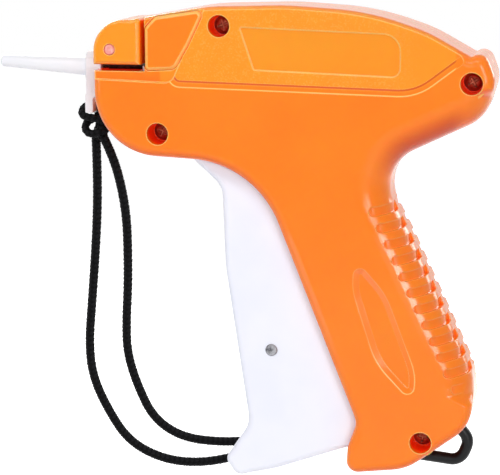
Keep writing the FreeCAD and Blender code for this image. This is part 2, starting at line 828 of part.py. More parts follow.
    # round seat of the needle hub and the hole in front of it
    add_rod(body, 0.0, 0.0, s("hub_r") + s("running"), s("nose_x") - 1.0, s("seat_back") + 0.5, "Pocket")
    return body


COVER_EDGE = s("nose_back") + s("feed_gap") + s("cover_fit")
COVER = [
    (COVER_EDGE, s("cover_low"), 1.2),
    (s("cover_back_low_x"), s("cover_low") + 0.4, 3.0),
    (s("cover_back_low_x") + 4.2, s("cover_low") + 7.5, 12.0),
    (s("cover_peak_x"), s("cover_peak_z"), 1.6),
    (COVER_EDGE + 3.0, s("cover_high") + 0.7, 2.5),
    (COVER_EDGE, s("cover_high") - 2.5, 2.0),
]

# the loop's bar runs round the lower screw boss and out through the bottom corner
REACH = s("well_r") + s("boss_wall") + s("loop_bar_r") + s("loose")
LOOP = [
    (s("screw_d_x") - REACH, s("screw_d_z") + REACH, REACH * 0.9),
    (s("screw_d_x") + 6.8, s("screw_d_z") + REACH - 0.6, 6.0),
    (s("screw_d_x") + 13.4, s("screw_d_z") - 2.0, 4.2),
    (s("screw_d_x") + 10.8, s("screw_d_z") - 8.6, 4.0),
    (s("screw_d_x") - REACH, s("screw_d_z") - REACH - 0.2, REACH * 0.9),
]


def loop_bar(body_label, radius):
    """The round bar of the hanging loop, swept along its closed route."""
    body = new_body(body_label)
    route = outline(new_sketch(body, "XZ_Plane", 0.0), LOOP)
    start = new_sketch(body, "XY_Plane", s("screw_d_z"))
    ring(start, s("screw_d_x") - REACH, 0.0, radius)
    pipe = body.newObject("PartDesign::AdditivePipe", "Pipe_" + body_label)
    pipe.Profile = start
    pipe.Spine = (route, [])
    pipe.Mode = "Frenet"
    return body


def cut_from(label, base, tool):
    result = doc.addObject("Part::Cut", "Cut_" + label)
    base.Label = label + "_moulding"
    result.Base = base
    result.Tool = tool
    result.Label = label
    return result


pieces = []
loop_way = loop_bar("loop_way", s("loop_bar_r") + 0.2)
pieces.append(cut_from("left_shell", shell("left_shell", -1), loop_way))
loop_way_far = loop_bar("loop_way_far", s("loop_bar_r") + 0.2)
pieces.append(cut_from("right_shell", shell("right_shell", 1), loop_way_far))
pieces.append(loop_bar("hanging_loop", s("loop_bar_r")))


# ---------------------------------------------------------------- nose and needle

nose = new_body("nose_block")
NOSE = [
    (s("nose_x"), s("passage_top"), 0.0),
    (s("nose_back"), s("passage_top"), 0.0),
    (s("nose_back"), s("nose_z") + 0.6, 0.8),
    (s("brow_x"), s("brow_z"), s("brow_r")),
    (s("nose_x"), s("nose_z"), s("nose_r")),
]
nose_face = -(HALF - s("ledge_depth") + s("nose_proud"))
block = add_plate(nose, NOSE, nose_face, 0.0)
dress(nose, block, "Fillet", 1.4, at_y(nose_face))
add_rod(nose, 0.0, 0.0, s("hub_r") + s("running"), s("nose_x") - 1.0, s("seat_back") + 0.5, "Pocket")
add_disc(nose, s("button_x"), s("button_z"), s("button_r") + s("running"), nose_face - 2.0, -3.6, "Pocket")
pieces.append(nose)

button = new_body("needle_release_button")
button_face = nose_face - 0.5
dome = add_disc(button, s("button_x"), s("button_z"), s("button_r"), button_face, -3.6 - SIZES["button_travel"])
dress(button, dome, "Fillet", 1.0, at_y(button_face))
pieces.append(button)

hub = new_body("needle_hub")
grip_ring = add_rod(hub, 0.0, 0.0, s("hub_r"), s("hub_front"), s("hub_back"))
dress(hub, grip_ring, "Chamfer", 0.4, at_x(s("hub_back")))
add_rod(hub, 0.0, 0.0, s("needle_r") + s("running"), s("hub_front") - 1.0, s("hub_back") + 1.0, "Pocket")
slit = box_corners(s("hub_front") - 1.0, s("passage_width") * -0.5, s("hub_back") + 1.0, s("passage_width") * 0.5)
add_plate(hub, slit, -s("hub_r") - 1.0, 0.0, "Pocket")
pieces.append(hub)

needle = new_body("needle_tube")
add_rod(needle, 0.0, 0.0, s("needle_r"), s("needle_tip_x"), s("hub_back"))
add_rod(needle, 0.0, 0.0, s("needle_bore_r"), s("needle_tip_x") - 1.0, s("hub_back") + 1.0, "Pocket")
slit = box_corners(s("needle_tip_x") - 1.0, s("passage_width") * -0.5, s("hub_back") + 1.0, s("passage_width") * 0.5)
add_plate(needle, slit, -s("needle_r") - 1.0, 0.0, "Pocket")
bevel = [
    (s("needle_tip_x") - 1.0, -s("needle_r") - 1.0, 0.0),
    (s("needle_tip_x") + s("needle_bevel") * 1.4, s("needle_r") + 1.0, 0.0),
    (s("needle_tip_x") - 1.0, s("needle_r") + 1.0, 0.0),
]
add_plate(needle, bevel, -s("needle_r") - 1.0, s("needle_r") + 1.0, "Pocket")
pieces.append(needle)

knife = new_body("knife_blade")
knife_back = s("seat_back") + s("knife_thick") + 0.05
blade = [
    (s("seat_back") + 0.05, s("passage_low") - 4.4, 0.0),
    (knife_back, s("passage_low") - 4.4, 0.0),
    (knife_back, s("passage_low") + 0.7, 0.0),
    (s("seat_back") + 0.05, s("passage_low") + 1.1, 0.0),
]
add_plate(knife, blade, -s("hub_r") - 2.0, -s("needle_r") - 0.4)
pieces.append(knife)

cover = new_body("feed_cover")
cover_face = -(HALF - s("ledge_depth") + s("cover_proud"))
lid = add_plate(cover, COVER, cover_face, cover_face + s("cover_thick"))
dress(cover, lid, "Chamfer", s("cover_bevel"), at_y(cover_face))
pieces.append(cover)

# ---------------------------------------------------------------- feed wheel, pawl and check spring

wheel_y0 = s("wheel_offset") - s("wheel_width") / 2
wheel_y1 = s("wheel_offset") + s("wheel_width") / 2
wheel = new_body("feed_wheel", s("wheel_x"), 0.0, s("wheel_z"))
add_disc(wheel, 0.0, 0.0, s("wheel_root_r"), wheel_y0, wheel_y1)
tooth_shape = [
    (s("wheel_root_r") - 0.6, -1.0, 0.0),
    (s("wheel_tip_r"), -0.55, 0.0),
    (s("wheel_tip_r") - 0.1, 0.35, 0.0),
    (s("wheel_root_r") - 0.6, 0.9, 0.0),
]
tooth = add_plate(wheel, tooth_shape, wheel_y0, wheel_y1)
teeth = wheel.newObject("PartDesign::PolarPattern", "Teeth")
teeth.Originals = [tooth]
teeth.Axis = (origin_plane(wheel, "Y_Axis"), [""])
teeth.Angle = 360
teeth.Occurrences = int(SIZES["wheel_teeth"])
wheel.Tip = teeth
doc.recompute()
add_disc(wheel, 0.0, 0.0, s("axle_r") + s("running"), wheel_y0 - 1.0, wheel_y1 + 1.0, "Pocket")
groove_r = s("wheel_root_r") - 1.4
relief = new_sketch(wheel, "XZ_Plane", -wheel_y0 - 0.0)
ring(relief, 0.0, 0.0, groove_r)
ring(relief, 0.0, 0.0, s("axle_r") + 1.1)
extrude(wheel, relief, 1.2, "Pocket")
pieces.append(wheel)

axle_end = cover_face + s("cover_thick") + 0.1
pieces.append(pin("feed_wheel_axle", s("wheel_x"), s("wheel_z"), s("axle_r"), axle_end, INNER - 0.8))

check = new_body("check_spring")
strip = [
    (s("wheel_x") + s("wheel_tip_r") - 1.1, s("wheel_z") + 1.7, 0.0),
    (s("wheel_x") + s("wheel_tip_r") - 0.8, s("wheel_z") + 1.35, 0.0),
    (s("screw_a_x") - s("well_r") - s("boss_wall") - 0.15, s("screw_a_z") - 1.2, 0.0),
    (s("screw_a_x") - s("well_r") - s("boss_wall") - 0.15, s("screw_a_z") - 0.6, 0.0),
]
add_plate(check, strip, wheel_y0 + 0.8, wheel_y1 - 0.8)
pieces.append(check)

pawl = new_body("feed_pawl")
arm = [
    (s("pawl_x") - 1.6, s("pawl_z") - 2.1, 1.2),
    (s("pawl_x") + 2.2, s("pawl_z") - 1.6, 1.6),
    (s("pawl_x") + 1.4, s("pawl_z") + 2.4, 1.4),
    (s("pawl_x") - 2.4, s("pawl_z") + 7.2, 0.6),
    (s("pawl_x") - 3.9, s("pawl_z") + 8.3, 0.0),
    (s("pawl_x") - 4.1, s("pawl_z") + 6.0, 1.0),
]
pawl_y0 = s("wheel_offset") - s("pawl_thick") / 2
pawl_y1 = s("wheel_offset") + s("pawl_thick") / 2
add_plate(pawl, arm, pawl_y0, pawl_y1)
add_disc(pawl, s("pawl_x"), s("pawl_z"), s("pawl_pin_r") + s("running"), pawl_y0 - 1.0, pawl_y1 + 1.0, "Pocket")
pieces.append(pawl)
pieces.append(pin("pawl_pin", s("pawl_x"), s("pawl_z"), s("pawl_pin_r"), -(INNER - 0.6), pawl_y1 + 0.5, 0.2))

# ---------------------------------------------------------------- plunger

slide = new_body("plunger_slide")
high = s("slide_height")
block = box_corners(s("slide_front"), -high, s("slide_back"), high, 0.8)
add_plate(slide, block, -s("slide_half"), s("slide_half"))
tongue = box_corners(s("slide_front") + 1.0, -s("tongue_height"), s("slide_back") - 1.0, s("tongue_height"), 0.6)
add_plate(slide, tongue, -s("tongue_half"), s("tongue_half"))
gap = box_corners(s("slide_front") + 4.2, -high - 2.0, s("slide_back") + 2.0, high + 2.0)
add_plate(slide, gap, -s("lever_gap"), s("lever_gap"), "Pocket")
hole = s("slide_pin_r") + 0.02
add_disc(slide, s("slide_pin_x"), 0.0, hole, -s("slide_half") - 6.0, s("slide_half") + 6.0, "Pocket")
add_rod(slide, 0.0, 0.0, s("rod_r") + 0.02, s("slide_front") - 1.0, s("slide_front") + 3.0, "Pocket")
pieces.append(slide)
pieces.append(pin("slide_pin", s("slide_pin_x"), 0.0, s("slide_pin_r"), -s("tongue_half") + 0.4, s("tongue_half") - 0.4))

rod = new_body("ejector_rod")
wire = add_rod(rod, 0.0, 0.0, s("rod_r"), s("rod_tip_x"), s("slide_front") + 2.9)
dress(rod, wire, "Chamfer", 0.12, at_x(s("rod_tip_x")))
pieces.append(rod)

# ---------------------------------------------------------------- drive lever and link

LX = s("lever_x")
LZ = s("lever_z")
QX = LX - s("lever_arm") * math.sin(math.radians(SIZES["lever_rest_deg"]))
QZ = LZ - s("lever_arm") * math.cos(math.radians(SIZES["lever_rest_deg"]))
PX = s("slide_pin_x")
lever = new_body("drive_lever")
blade = [
    (PX - 4.4, -1.4, 2.4),
    (PX + 2.6, -4.8, 2.0),
    (PX + 2.6, -19.0, 6.0),
    (LX - 4.8, LZ + 31.5, 12.0),
    (LX - 4.2, LZ + 3.0, 6.0),
    (LX - 4.6, LZ - 3.0, 4.0),
    (QX - 3.0, QZ - 2.2, 2.4),
    (QX + 3.2, QZ - 2.4, 2.4),
    (LX + 4.4, LZ - 2.0, 4.0),
    (LX + 4.4, LZ + 3.0, 6.0),
    (LX + 1.9, LZ + 30.0, 12.0),
    (LX + 2.3, LZ + 38.0, 6.0),
    (PX + 7.4, -20.0, 6.0),
    (PX + 8.4, -5.0, 6.0),
    (PX + 5.0, 11.6, 1.0),
    (PX - 2.4, 11.6, 1.0),
    (PX - 4.6, 3.4, 3.0),
]
add_plate(lever, blade, -s("lever_half"), s("lever_half"))
fork = [
    (PX - 1.9, -1.7, 1.2),
    (PX + 1.9, -1.7, 1.2),
    (PX + 1.2, 2.6, 3.0),
    (PX + 3.5, 12.8, 0.0),
    (PX - 0.7, 12.8, 0.0),
    (PX - 2.8, 2.6, 3.0),
]
add_plate(lever, fork, -s("lever_half") - 1.0, s("lever_half") + 1.0, "Pocket")
add_disc(lever, LX, LZ, s("lever_pin_r") + s("running"), -s("lever_half") - 1.0, s("lever_half") + 1.0, "Pocket")
add_disc(lever, QX, QZ, s("link_pin_r") + 0.02, -s("lever_half") - 1.0, s("lever_half") + 1.0, "Pocket")
pieces.append(lever)
pieces.append(pin("lever_pivot_pin", LX, LZ, s("lever_pin_r"), -(INNER - 1.0), INNER - 1.0))

link = new_body("connecting_link")
link_y0 = s("lever_half") + s("loose")
link_y1 = link_y0 + s("link_thick")
eye = s("link_eye_r")
bar = [
    (s("tpin_x") - eye, s("tpin_z") - eye * 0.9, eye * 0.8),
    (QX + eye, QZ - eye, eye * 0.8),
    (QX + eye, QZ + eye * 0.9, eye * 0.8),
    (s("tpin_x") - eye, s("tpin_z") + eye, eye * 0.8),
]
add_plate(link, bar, link_y0, link_y1)
add_disc(link, s("tpin_x"), s("tpin_z"), s("tpin_r") + s("running"), link_y0 - 1.0, link_y1 + 1.0, "Pocket")
add_disc(link, QX, QZ, s("link_pin_r") + s("link_slack"), link_y0 - 1.0, link_y1 + 1.0, "Pocket")
pieces.append(link)
pieces.append(pin("lever_link_pin", QX, QZ, s("link_pin_r"), -s("lever_half"), link_y1 + 0.5, 0.2))

# ---------------------------------------------------------------- trigger

trigger = new_body("trigger")
TX = s("hinge_x")
TZ = s("hinge_z")
TRIG = [
    (s("trig_tip_x"), s("trig_tip_z"), 0.0),
    (s("trig_curl_x"), s("trig_curl_z"), s("trig_curl_r")),
    (s("trig_mid_x"), s("trig_mid_z"), s("trig_mid_r")),
    (s("trig_waist_x"), s("trig_waist_z"), s("trig_waist_r")),
    (s("trig_foot_x"), s("trig_foot_z"), s("trig_foot_r")),
    (s("trig_toe_x"), s("trig_toe_z"), s("trig_toe_r")),
    (s("trig_sole_x"), s("trig_sole_z"), s("trig_sole_r")),
    (s("trig_heel_x"), s("trig_heel_z"), 0.0),
    (TX + s("hinge_ear_r"), TZ - 3.0, 3.0),
    (TX + s("hinge_ear_r"), TZ + s("hinge_ear_r"), 4.0),
    (s("shin_x") + 1.5, s("shin_z") + 6.0, 6.0),
    (s("arch_x") + 11.2, s("arch_z") - 22.5, 18.0),
    (s("arch_x") - 3.6, s("trig_tip_z"), 2.0),
]
HOLLOW = [
    (s("trig_tip_x") + 4.6, s("trig_tip_z") - 1.2, 0.0),
    (s("trig_curl_x") + s("trig_wall"), s("trig_curl_z") + 0.5, 5.4),
    (s("trig_mid_x") + s("trig_wall"), s("trig_mid_z"), 58.0),
    (s("trig_waist_x") + s("trig_wall"), s("trig_waist_z"), 6.4),
    (s("trig_foot_x") + s("trig_wall") * 1.4, s("trig_foot_z") + 0.2, 1.0),
    (s("trig_toe_x") + s("trig_wall") * 0.6, s("trig_toe_z") + s("trig_wall") * 1.2, 1.4),
    (s("trig_sole_x"), s("trig_sole_z") + s("trig_wall") * 1.05, 28.0),
    (TX + 12.0, TZ - 1.2, 0.0),
    (TX + 12.0, TZ + 14.0, 0.0),
    (s("arch_x") + 30.0, s("arch_z") - 10.0, 0.0),
    (s("arch_x") + 10.0, s("trig_tip_z") + 6.0, 0.0),
    (s("trig_tip_x") + 8.0, s("trig_tip_z") + 6.0, 0.0),
]
side = s("trig_half")
web = add_plate(trigger, TRIG, -side, side)


def trigger_rim(edge):
    """Outside edges of the front and foot, which run on into the rest of the front."""
    box = edge.BoundBox
    flat_edge = abs(abs(box.YMin) - number(side)) < 1e-4 and abs(box.YMax - box.YMin) < 1e-4
    return flat_edge and box.XMin < number(s("arch_x")) - 5.0 and box.ZMax < number(s("trig_tip_z")) - 1.0


dress(trigger, web, "Fillet", s("trig_round"), trigger_rim)
add_plate(trigger, HOLLOW, -side + s("trig_wall"), side - s("trig_wall"), "Pocket")
add_disc(trigger, TX, TZ, s("hinge_pin_r") + s("running"), -side - 1.0, side + 1.0, "Pocket")
add_disc(trigger, s("tpin_x"), s("tpin_z"), s("tpin_r") + 0.02, -side - 1.0, side + 1.0, "Pocket")
# short lug behind the hinge that the spring pushes up
lug = box_corners(TX + 3.4, s("spring_high") + 0.15, s("spring_x") + 2.2, s("spring_high") + 0.15 + s("heel_lug"), 0.3)
lug_y0 = -side
lug_y1 = s("spring_y") + 2.6
add_plate(trigger, lug, lug_y0, lug_y1)
pieces.append(trigger)
stand = side + s("tpin_stand")
pieces.append(pin("trigger_link_pin", s("tpin_x"), s("tpin_z"), s("tpin_r"), -stand, stand))
pieces.append(pin("trigger_pivot_pin", TX, TZ, s("hinge_pin_r"), -(INNER - 1.0), INNER - 1.0))

# ---------------------------------------------------------------- spring under the trigger's heel

pitch = (s("spring_high") - s("spring_low") - s("spring_wire_r") * 2) / s("spring_turns")
coil_low = s("spring_low") + s("spring_wire_r")
coil = doc.addObject("Part::Helix", "Coil")
for word, value in (("Radius", s("spring_r")), ("Pitch", pitch), ("Height", pitch * s("spring_turns"))):
    setattr(coil, word, value.value)
    tie(coil, word, value)
place(coil, s("spring_x"), s("spring_y"), coil_low)
wire = doc.addObject("Part::Circle", "Wire")
wire.Radius = SIZES["spring_wire_r"]
tie(wire, "Radius", s("spring_wire_r"))
place(wire, s("spring_x") + s("spring_r"), s("spring_y"), coil_low, ALONG_Y)
spring = doc.addObject("Part::Sweep", "Spring")
spring.Sections = [wire]
spring.Spine = (coil, ["Edge1"])
spring.Solid = True
spring.Frenet = True
spring.Label = "return_spring"
pieces.append(spring)

# ---------------------------------------------------------------- screws

screws = []
head_from = -(HALF - s("well_depth"))
shank_from = head_from + s("screw_head_h") - 0.2
for which, (x, z) in enumerate(SCREWS):
    head = cylinder("Head%d" % which, s("screw_head_r"), s("screw_head_h"), x, head_from, z, ALONG_Y)
    shank = cylinder("Shank%d" % which, s("screw_r"), s("screw_length") + 1.0, x, shank_from, z, ALONG_Y)
    whole = doc.addObject("Part::Fuse", "Screw%d" % which)
    whole.Base = head
    whole.Tool = shank
    screws.append(whole)
group = doc.addObject("Part::Compound", "Screws")
group.Links = screws
group.Label = "housing_screws"
pieces.append(group)

# ---------------------------------------------------------------- needle cap

cap = new_body("needle_cap")


def taper(body, kind, x0, z0, r0, x1, z1, r1):
    """A round taper whose axis runs from x0, z0 to x1, z1."""
    run = flat(x1) - x0
    rise = flat(z1) - z0
    long = Size(math.hypot(run.value, rise.value), "hypot(%s; %s)" % (run.text, rise.text))
    cone = body.newObject("PartDesign::" + kind, "%s_%d" % (kind, len(doc.Objects)))
    for word, value in (("Radius1", flat(r0)), ("Radius2", flat(r1)), ("Height", long)):
        setattr(cone, word, value.value)
        tie(cone, word, value)
    aim = FreeCAD.Rotation(FreeCAD.Vector(0.0, 0.0, 1.0), FreeCAD.Vector(run.value, 0.0, rise.value))
    cone.Placement = FreeCAD.Placement(FreeCAD.Vector(number(x0), 0.0, number(z0)), aim)
    tie(cone, ".Placement.Base.x", x0)
    tie(cone, ".Placement.Base.z", z0)
    return cone


inside = s("cap_wall")
blunt = inside
fall = (s("cap_lift") + s("cap_drop")) / (s("flange_front") - s("cap_tip_x"))
shoulder_z = s("cap_lift") - fall * blunt
taper(
    cap, "AdditiveCone", s("cap_tip_x") + blunt, shoulder_z, s("cap_tip_r"),
    s("flange_front") + 0.5, -s("cap_drop") - fall * 0.5, s("cap_base_r"),
)
taper(
    cap, "AdditiveCone", s("cap_tip_x"), s("cap_lift"), s("cap_tip_r") - blunt,
    s("cap_tip_x") + blunt, shoulder_z, s("cap_tip_r"),
)
plate = [
    (s("flange_front"), s("flange_top"), 0.4),
    (s("flange_back"), s("flange_top"), 0.4),
    (s("flange_back"), s("leg_top"), 0.4),
    (s("flange_back") - s("leg_shift"), s("leg_top") - 0.6, 0.4),
    (s("flange_back") - s("leg_shift"), s("leg_low"), 0.4),
    (s("flange_front") - s("leg_shift") * 0.4, s("leg_low"), 0.4),
    (s("flange_front") - s("leg_shift") * 0.4, s("leg_top"), 0.4),
    (s("flange_front"), s("leg_top") + 1.0, 0.4),
]
add_plate(cap, plate, -s("flange_half") * 0.72, s("flange_half") * 0.72)
add_rod(cap, 0.0, 0.0, s("hub_r") + 0.9, s("flange_front"), s("nose_x") - 0.1)
gusset = [
    (s("flange_front") - 0.9, -s("cap_drop") - s("cap_base_r") + 0.3, 0.0),
    (s("flange_front") + 0.2, -s("cap_drop") - s("cap_base_r") + 0.3, 0.0),
    (s("flange_front") + 0.2, s("leg_top"), 0.0),
    (s("flange_front") - 0.5, s("leg_top") + 0.4, 0.0),
]
add_plate(cap, gusset, -0.7, 0.7)
taper(
    cap, "SubtractiveCone", s("cap_tip_x") + 1.6, s("cap_lift") - fall * 1.6, s("cap_tip_r") - inside,
    s("nose_x") + 0.5, s("cap_drop") * -0.7, s("cap_base_r") - 1.0,
)
pieces.append(cap)

# ---------------------------------------------------------------- strap: knot and the two strands


def turn_of_cord(name, ring_radius, x, y, z, tilt):
    """One round turn of the cord: a ring of the cord's own thickness, its seam away from its neighbours."""
    seam = FreeCAD.Rotation(FreeCAD.Vector(0.0, 0.0, 1.0), 135.0)
    solid = doc.addObject("Part::Torus", name)
    for word, value in (("Radius1", ring_radius), ("Radius2", s("strap_r"))):
        setattr(solid, word, value.value)
        tie(solid, word, value)
    return place(solid, x, y, z, tilt.multiply(seam))


leg_mid = (s("flange_front") + s("flange_back") - s("leg_shift") * 1.4) / 2
tail_a_x = s("knot_tail_x")
tail_b_x = s("knot_tail_x") + 3.2
turns = [
    turn_of_cord(
        "TurnNear", s("knot_ring"), leg_mid, -s("knot_spread"), s("leg_low") - 2.2,
        FreeCAD.Rotation(FreeCAD.Vector(1.0, 0.0, 0.14), 90.0),
    ),
    turn_of_cord(
        "TurnFar", s("knot_ring"), leg_mid, s("knot_spread"), s("leg_low") - 2.0,
        FreeCAD.Rotation(FreeCAD.Vector(1.0, 0.0, -0.10), 90.0),
    ),
    turn_of_cord(
        "Collar", s("knot_collar"), (tail_a_x + tail_b_x) / 2, flat(0.6), s("leg_low") - 4.3,
        FreeCAD.Rotation(FreeCAD.Vector(0.0, 1.0, 0.0), 9.0),
    ),
]
tails = [
    cylinder("TailA", s("strap_r"), 4.6, tail_a_x, flat(2.2), s("knot_low")),
    cylinder(
        "TailB", s("strap_r"), 4.6, tail_b_x, flat(-1.0), s("knot_low"),
        FreeCAD.Rotation(FreeCAD.Vector(0.0, 0.0, 1.0), FreeCAD.Vector(-2.95, 0.2, 5.9)),
    ),
]
tangle = doc.addObject("Part::MultiFuse", "Tangle")
tangle.Shapes = turns + tails
tangle.Refine = False
leg = doc.addObject("Part::Box", "LegSlot")
leg.Length = 4.0
leg.Width = 9.0
leg.Height = 8.0
place(leg, s("flange_front") - s("leg_shift") * 0.4 - 0.15, flat(-4.5), s("leg_low") - 0.1)
tie(leg, "Length", s("flange_back") - s("flange_front") - s("leg_shift") * 0.6 + 0.3)
knot = doc.addObject("Part::Cut", "Knot")
knot.Base = tangle
knot.Tool = leg
knot.Refine = False
knot.Label = "strap_knot"
pieces.append(knot)

STRAND_A = [
    (-0.6, 2.2, -22.1), (-0.5, 3.0, -34.0), (-1.2, 4.6, -47.0), (-2.6, 6.4, -61.0), (-4.4, 8.4, -76.0),
    (-5.8, 9.7, -88.6), (-4.9, 10.1, -99.0), (-0.5, 10.1, -109.0), (6.4, 10.1, -119.6), (17.5, 10.1, -125.0),
    (30.0, 10.1, -125.6), (43.0, 10.1, -122.2), (56.0, 10.1, -119.6), (70.0, 10.1, -116.3), (85.0, 10.1, -113.6),
]
STRAND_B = [
    (2.65, -1.0, -22.1), (5.6, -1.2, -28.0), (7.8, -0.2, -37.0), (8.8, 1.8, -47.0), (8.4, 4.4, -58.4),
    (7.7, 6.7, -69.6), (6.6, 8.5, -80.4), (6.4, 9.8, -91.0), (9.6, 10.1, -101.6), (14.6, 10.1, -111.8),
    (23.6, 10.1, -117.5), (36.0, 10.1, -118.5), (49.0, 10.1, -117.0), (62.0, 10.1, -113.8), (74.0, 10.1, -110.6),
    (85.0, 10.1, -110.4),
]


def cord(label, points):
    """Round cord along straight runs joined by arcs as large as the runs allow."""
    spots = [FreeCAD.Vector(*p) for p in points]
    edges = []
    at = spots[0]
    radii = []
    for i in range(1, len(spots) - 1):
        here = spots[i]
        back = spots[i - 1] - here
        ahead = spots[i + 1] - here
        turn = math.pi - back.getAngle(ahead)
        radius = 0.45 * min(back.Length, ahead.Length) / math.tan(turn / 2)
        radii.append(round(radius, 1))
        reach = radius * math.tan(turn / 2)
        back.normalize()
        ahead.normalize()
        first = here + back * reach
        last = here + ahead * reach
        middle = here + (back + ahead).normalize() * (radius / math.cos(turn / 2) - radius)
        edges.append(Part.LineSegment(at, first).toShape())
        edges.append(Part.Arc(first, middle, last).toShape())
        at = last
    edges.append(Part.LineSegment(at, spots[-1]).toShape())
    route = Part.Wire(edges)
    radius = SIZES["strap_r"]
    circle = Part.Circle(spots[0], spots[1] - spots[0], radius)
    tube = route.makePipeShell([Part.Wire([circle.toShape()])], True, False)
    share = tube.Volume / (math.pi * radius * radius * route.Length)
    print(label, "length", round(route.Length, 1), "volume share", round(share, 4), "radii", radii)
    strand = doc.addObject("Part::Feature", "Strand_" + label)
    strand.Shape = tube
    strand.Label = label
    return place(strand)


pieces.append(cord("strap_strand_a", STRAND_A))
pieces.append(cord("strap_strand_b", STRAND_B))

# ---------------------------------------------------------------- check and write

doc.recompute()
faults = [o.Name + " " + o.Label for o in doc.Objects if "Invalid" in o.State or "Error" in o.State]
for piece in pieces:
    if piece.Shape.isNull() or not piece.Shape.isValid():
        faults.append("bad shape " + piece.Label)
if faults:
    raise RuntimeError("; ".join(faults))
os.makedirs("parts", exist_ok=True)
for piece in pieces:
    piece.Shape.exportStep("parts/%s.step" % piece.Label)
    print(piece.Label, "solids", len(piece.Shape.Solids), "volume", round(piece.Shape.Volume, 1))
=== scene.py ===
import math

import bmesh
import bpy
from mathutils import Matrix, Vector


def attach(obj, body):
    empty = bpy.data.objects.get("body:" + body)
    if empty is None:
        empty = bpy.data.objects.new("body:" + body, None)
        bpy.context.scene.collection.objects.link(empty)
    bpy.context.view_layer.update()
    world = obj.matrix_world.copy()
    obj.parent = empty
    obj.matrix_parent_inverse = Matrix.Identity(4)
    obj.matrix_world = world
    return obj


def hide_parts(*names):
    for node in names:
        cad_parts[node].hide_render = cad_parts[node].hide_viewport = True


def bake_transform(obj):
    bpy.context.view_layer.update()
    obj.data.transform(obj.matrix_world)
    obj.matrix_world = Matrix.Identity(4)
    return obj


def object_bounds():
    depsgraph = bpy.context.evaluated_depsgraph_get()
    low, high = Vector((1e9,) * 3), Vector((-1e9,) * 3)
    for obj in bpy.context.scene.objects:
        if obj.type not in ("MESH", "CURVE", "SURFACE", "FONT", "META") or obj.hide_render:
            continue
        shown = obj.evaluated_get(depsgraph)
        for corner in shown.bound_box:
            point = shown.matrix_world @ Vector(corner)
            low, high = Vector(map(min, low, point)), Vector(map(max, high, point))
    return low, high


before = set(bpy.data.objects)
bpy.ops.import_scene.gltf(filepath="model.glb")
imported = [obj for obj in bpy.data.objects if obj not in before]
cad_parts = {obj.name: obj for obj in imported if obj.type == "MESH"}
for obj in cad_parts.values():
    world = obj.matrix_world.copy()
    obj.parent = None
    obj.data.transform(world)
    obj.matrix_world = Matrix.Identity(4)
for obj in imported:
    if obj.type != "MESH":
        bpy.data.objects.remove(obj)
CAD_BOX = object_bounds()

MM = 0.001
GRIP = Vector((88.5, 0.0, -73.7))  # middle of the grip, counted from the needle's mouth
HALF_WIDTH = 14.0
ZONE_DEPTH = 0.8


def at(x, y, z):
    """A point in millimetres from the needle's mouth, as a point of the part's frame."""
    return (Vector((x, y, z)) - GRIP) * MM


# ---------------------------------------------------------------- finishes


class Value:
    """A shader value that Python arithmetic works on."""

    def __init__(self, finish, socket):
        self.finish = finish
        self.socket = socket

    def maths(self, operation, *terms):
        return self.finish.node("Math", {"operation": operation}, dict(enumerate(terms)))

    def __add__(self, other):
        return self.maths("ADD", self, other)

    def __sub__(self, other):
        return self.maths("SUBTRACT", self, other)

    def __rsub__(self, other):
        return self.maths("SUBTRACT", other, self)

    def __mul__(self, other):
        return self.maths("MULTIPLY", self, other)

    def __neg__(self):
        return self.maths("MULTIPLY", self, -1.0)

    def __abs__(self):
        return self.maths("ABSOLUTE", self)

    __radd__ = __add__


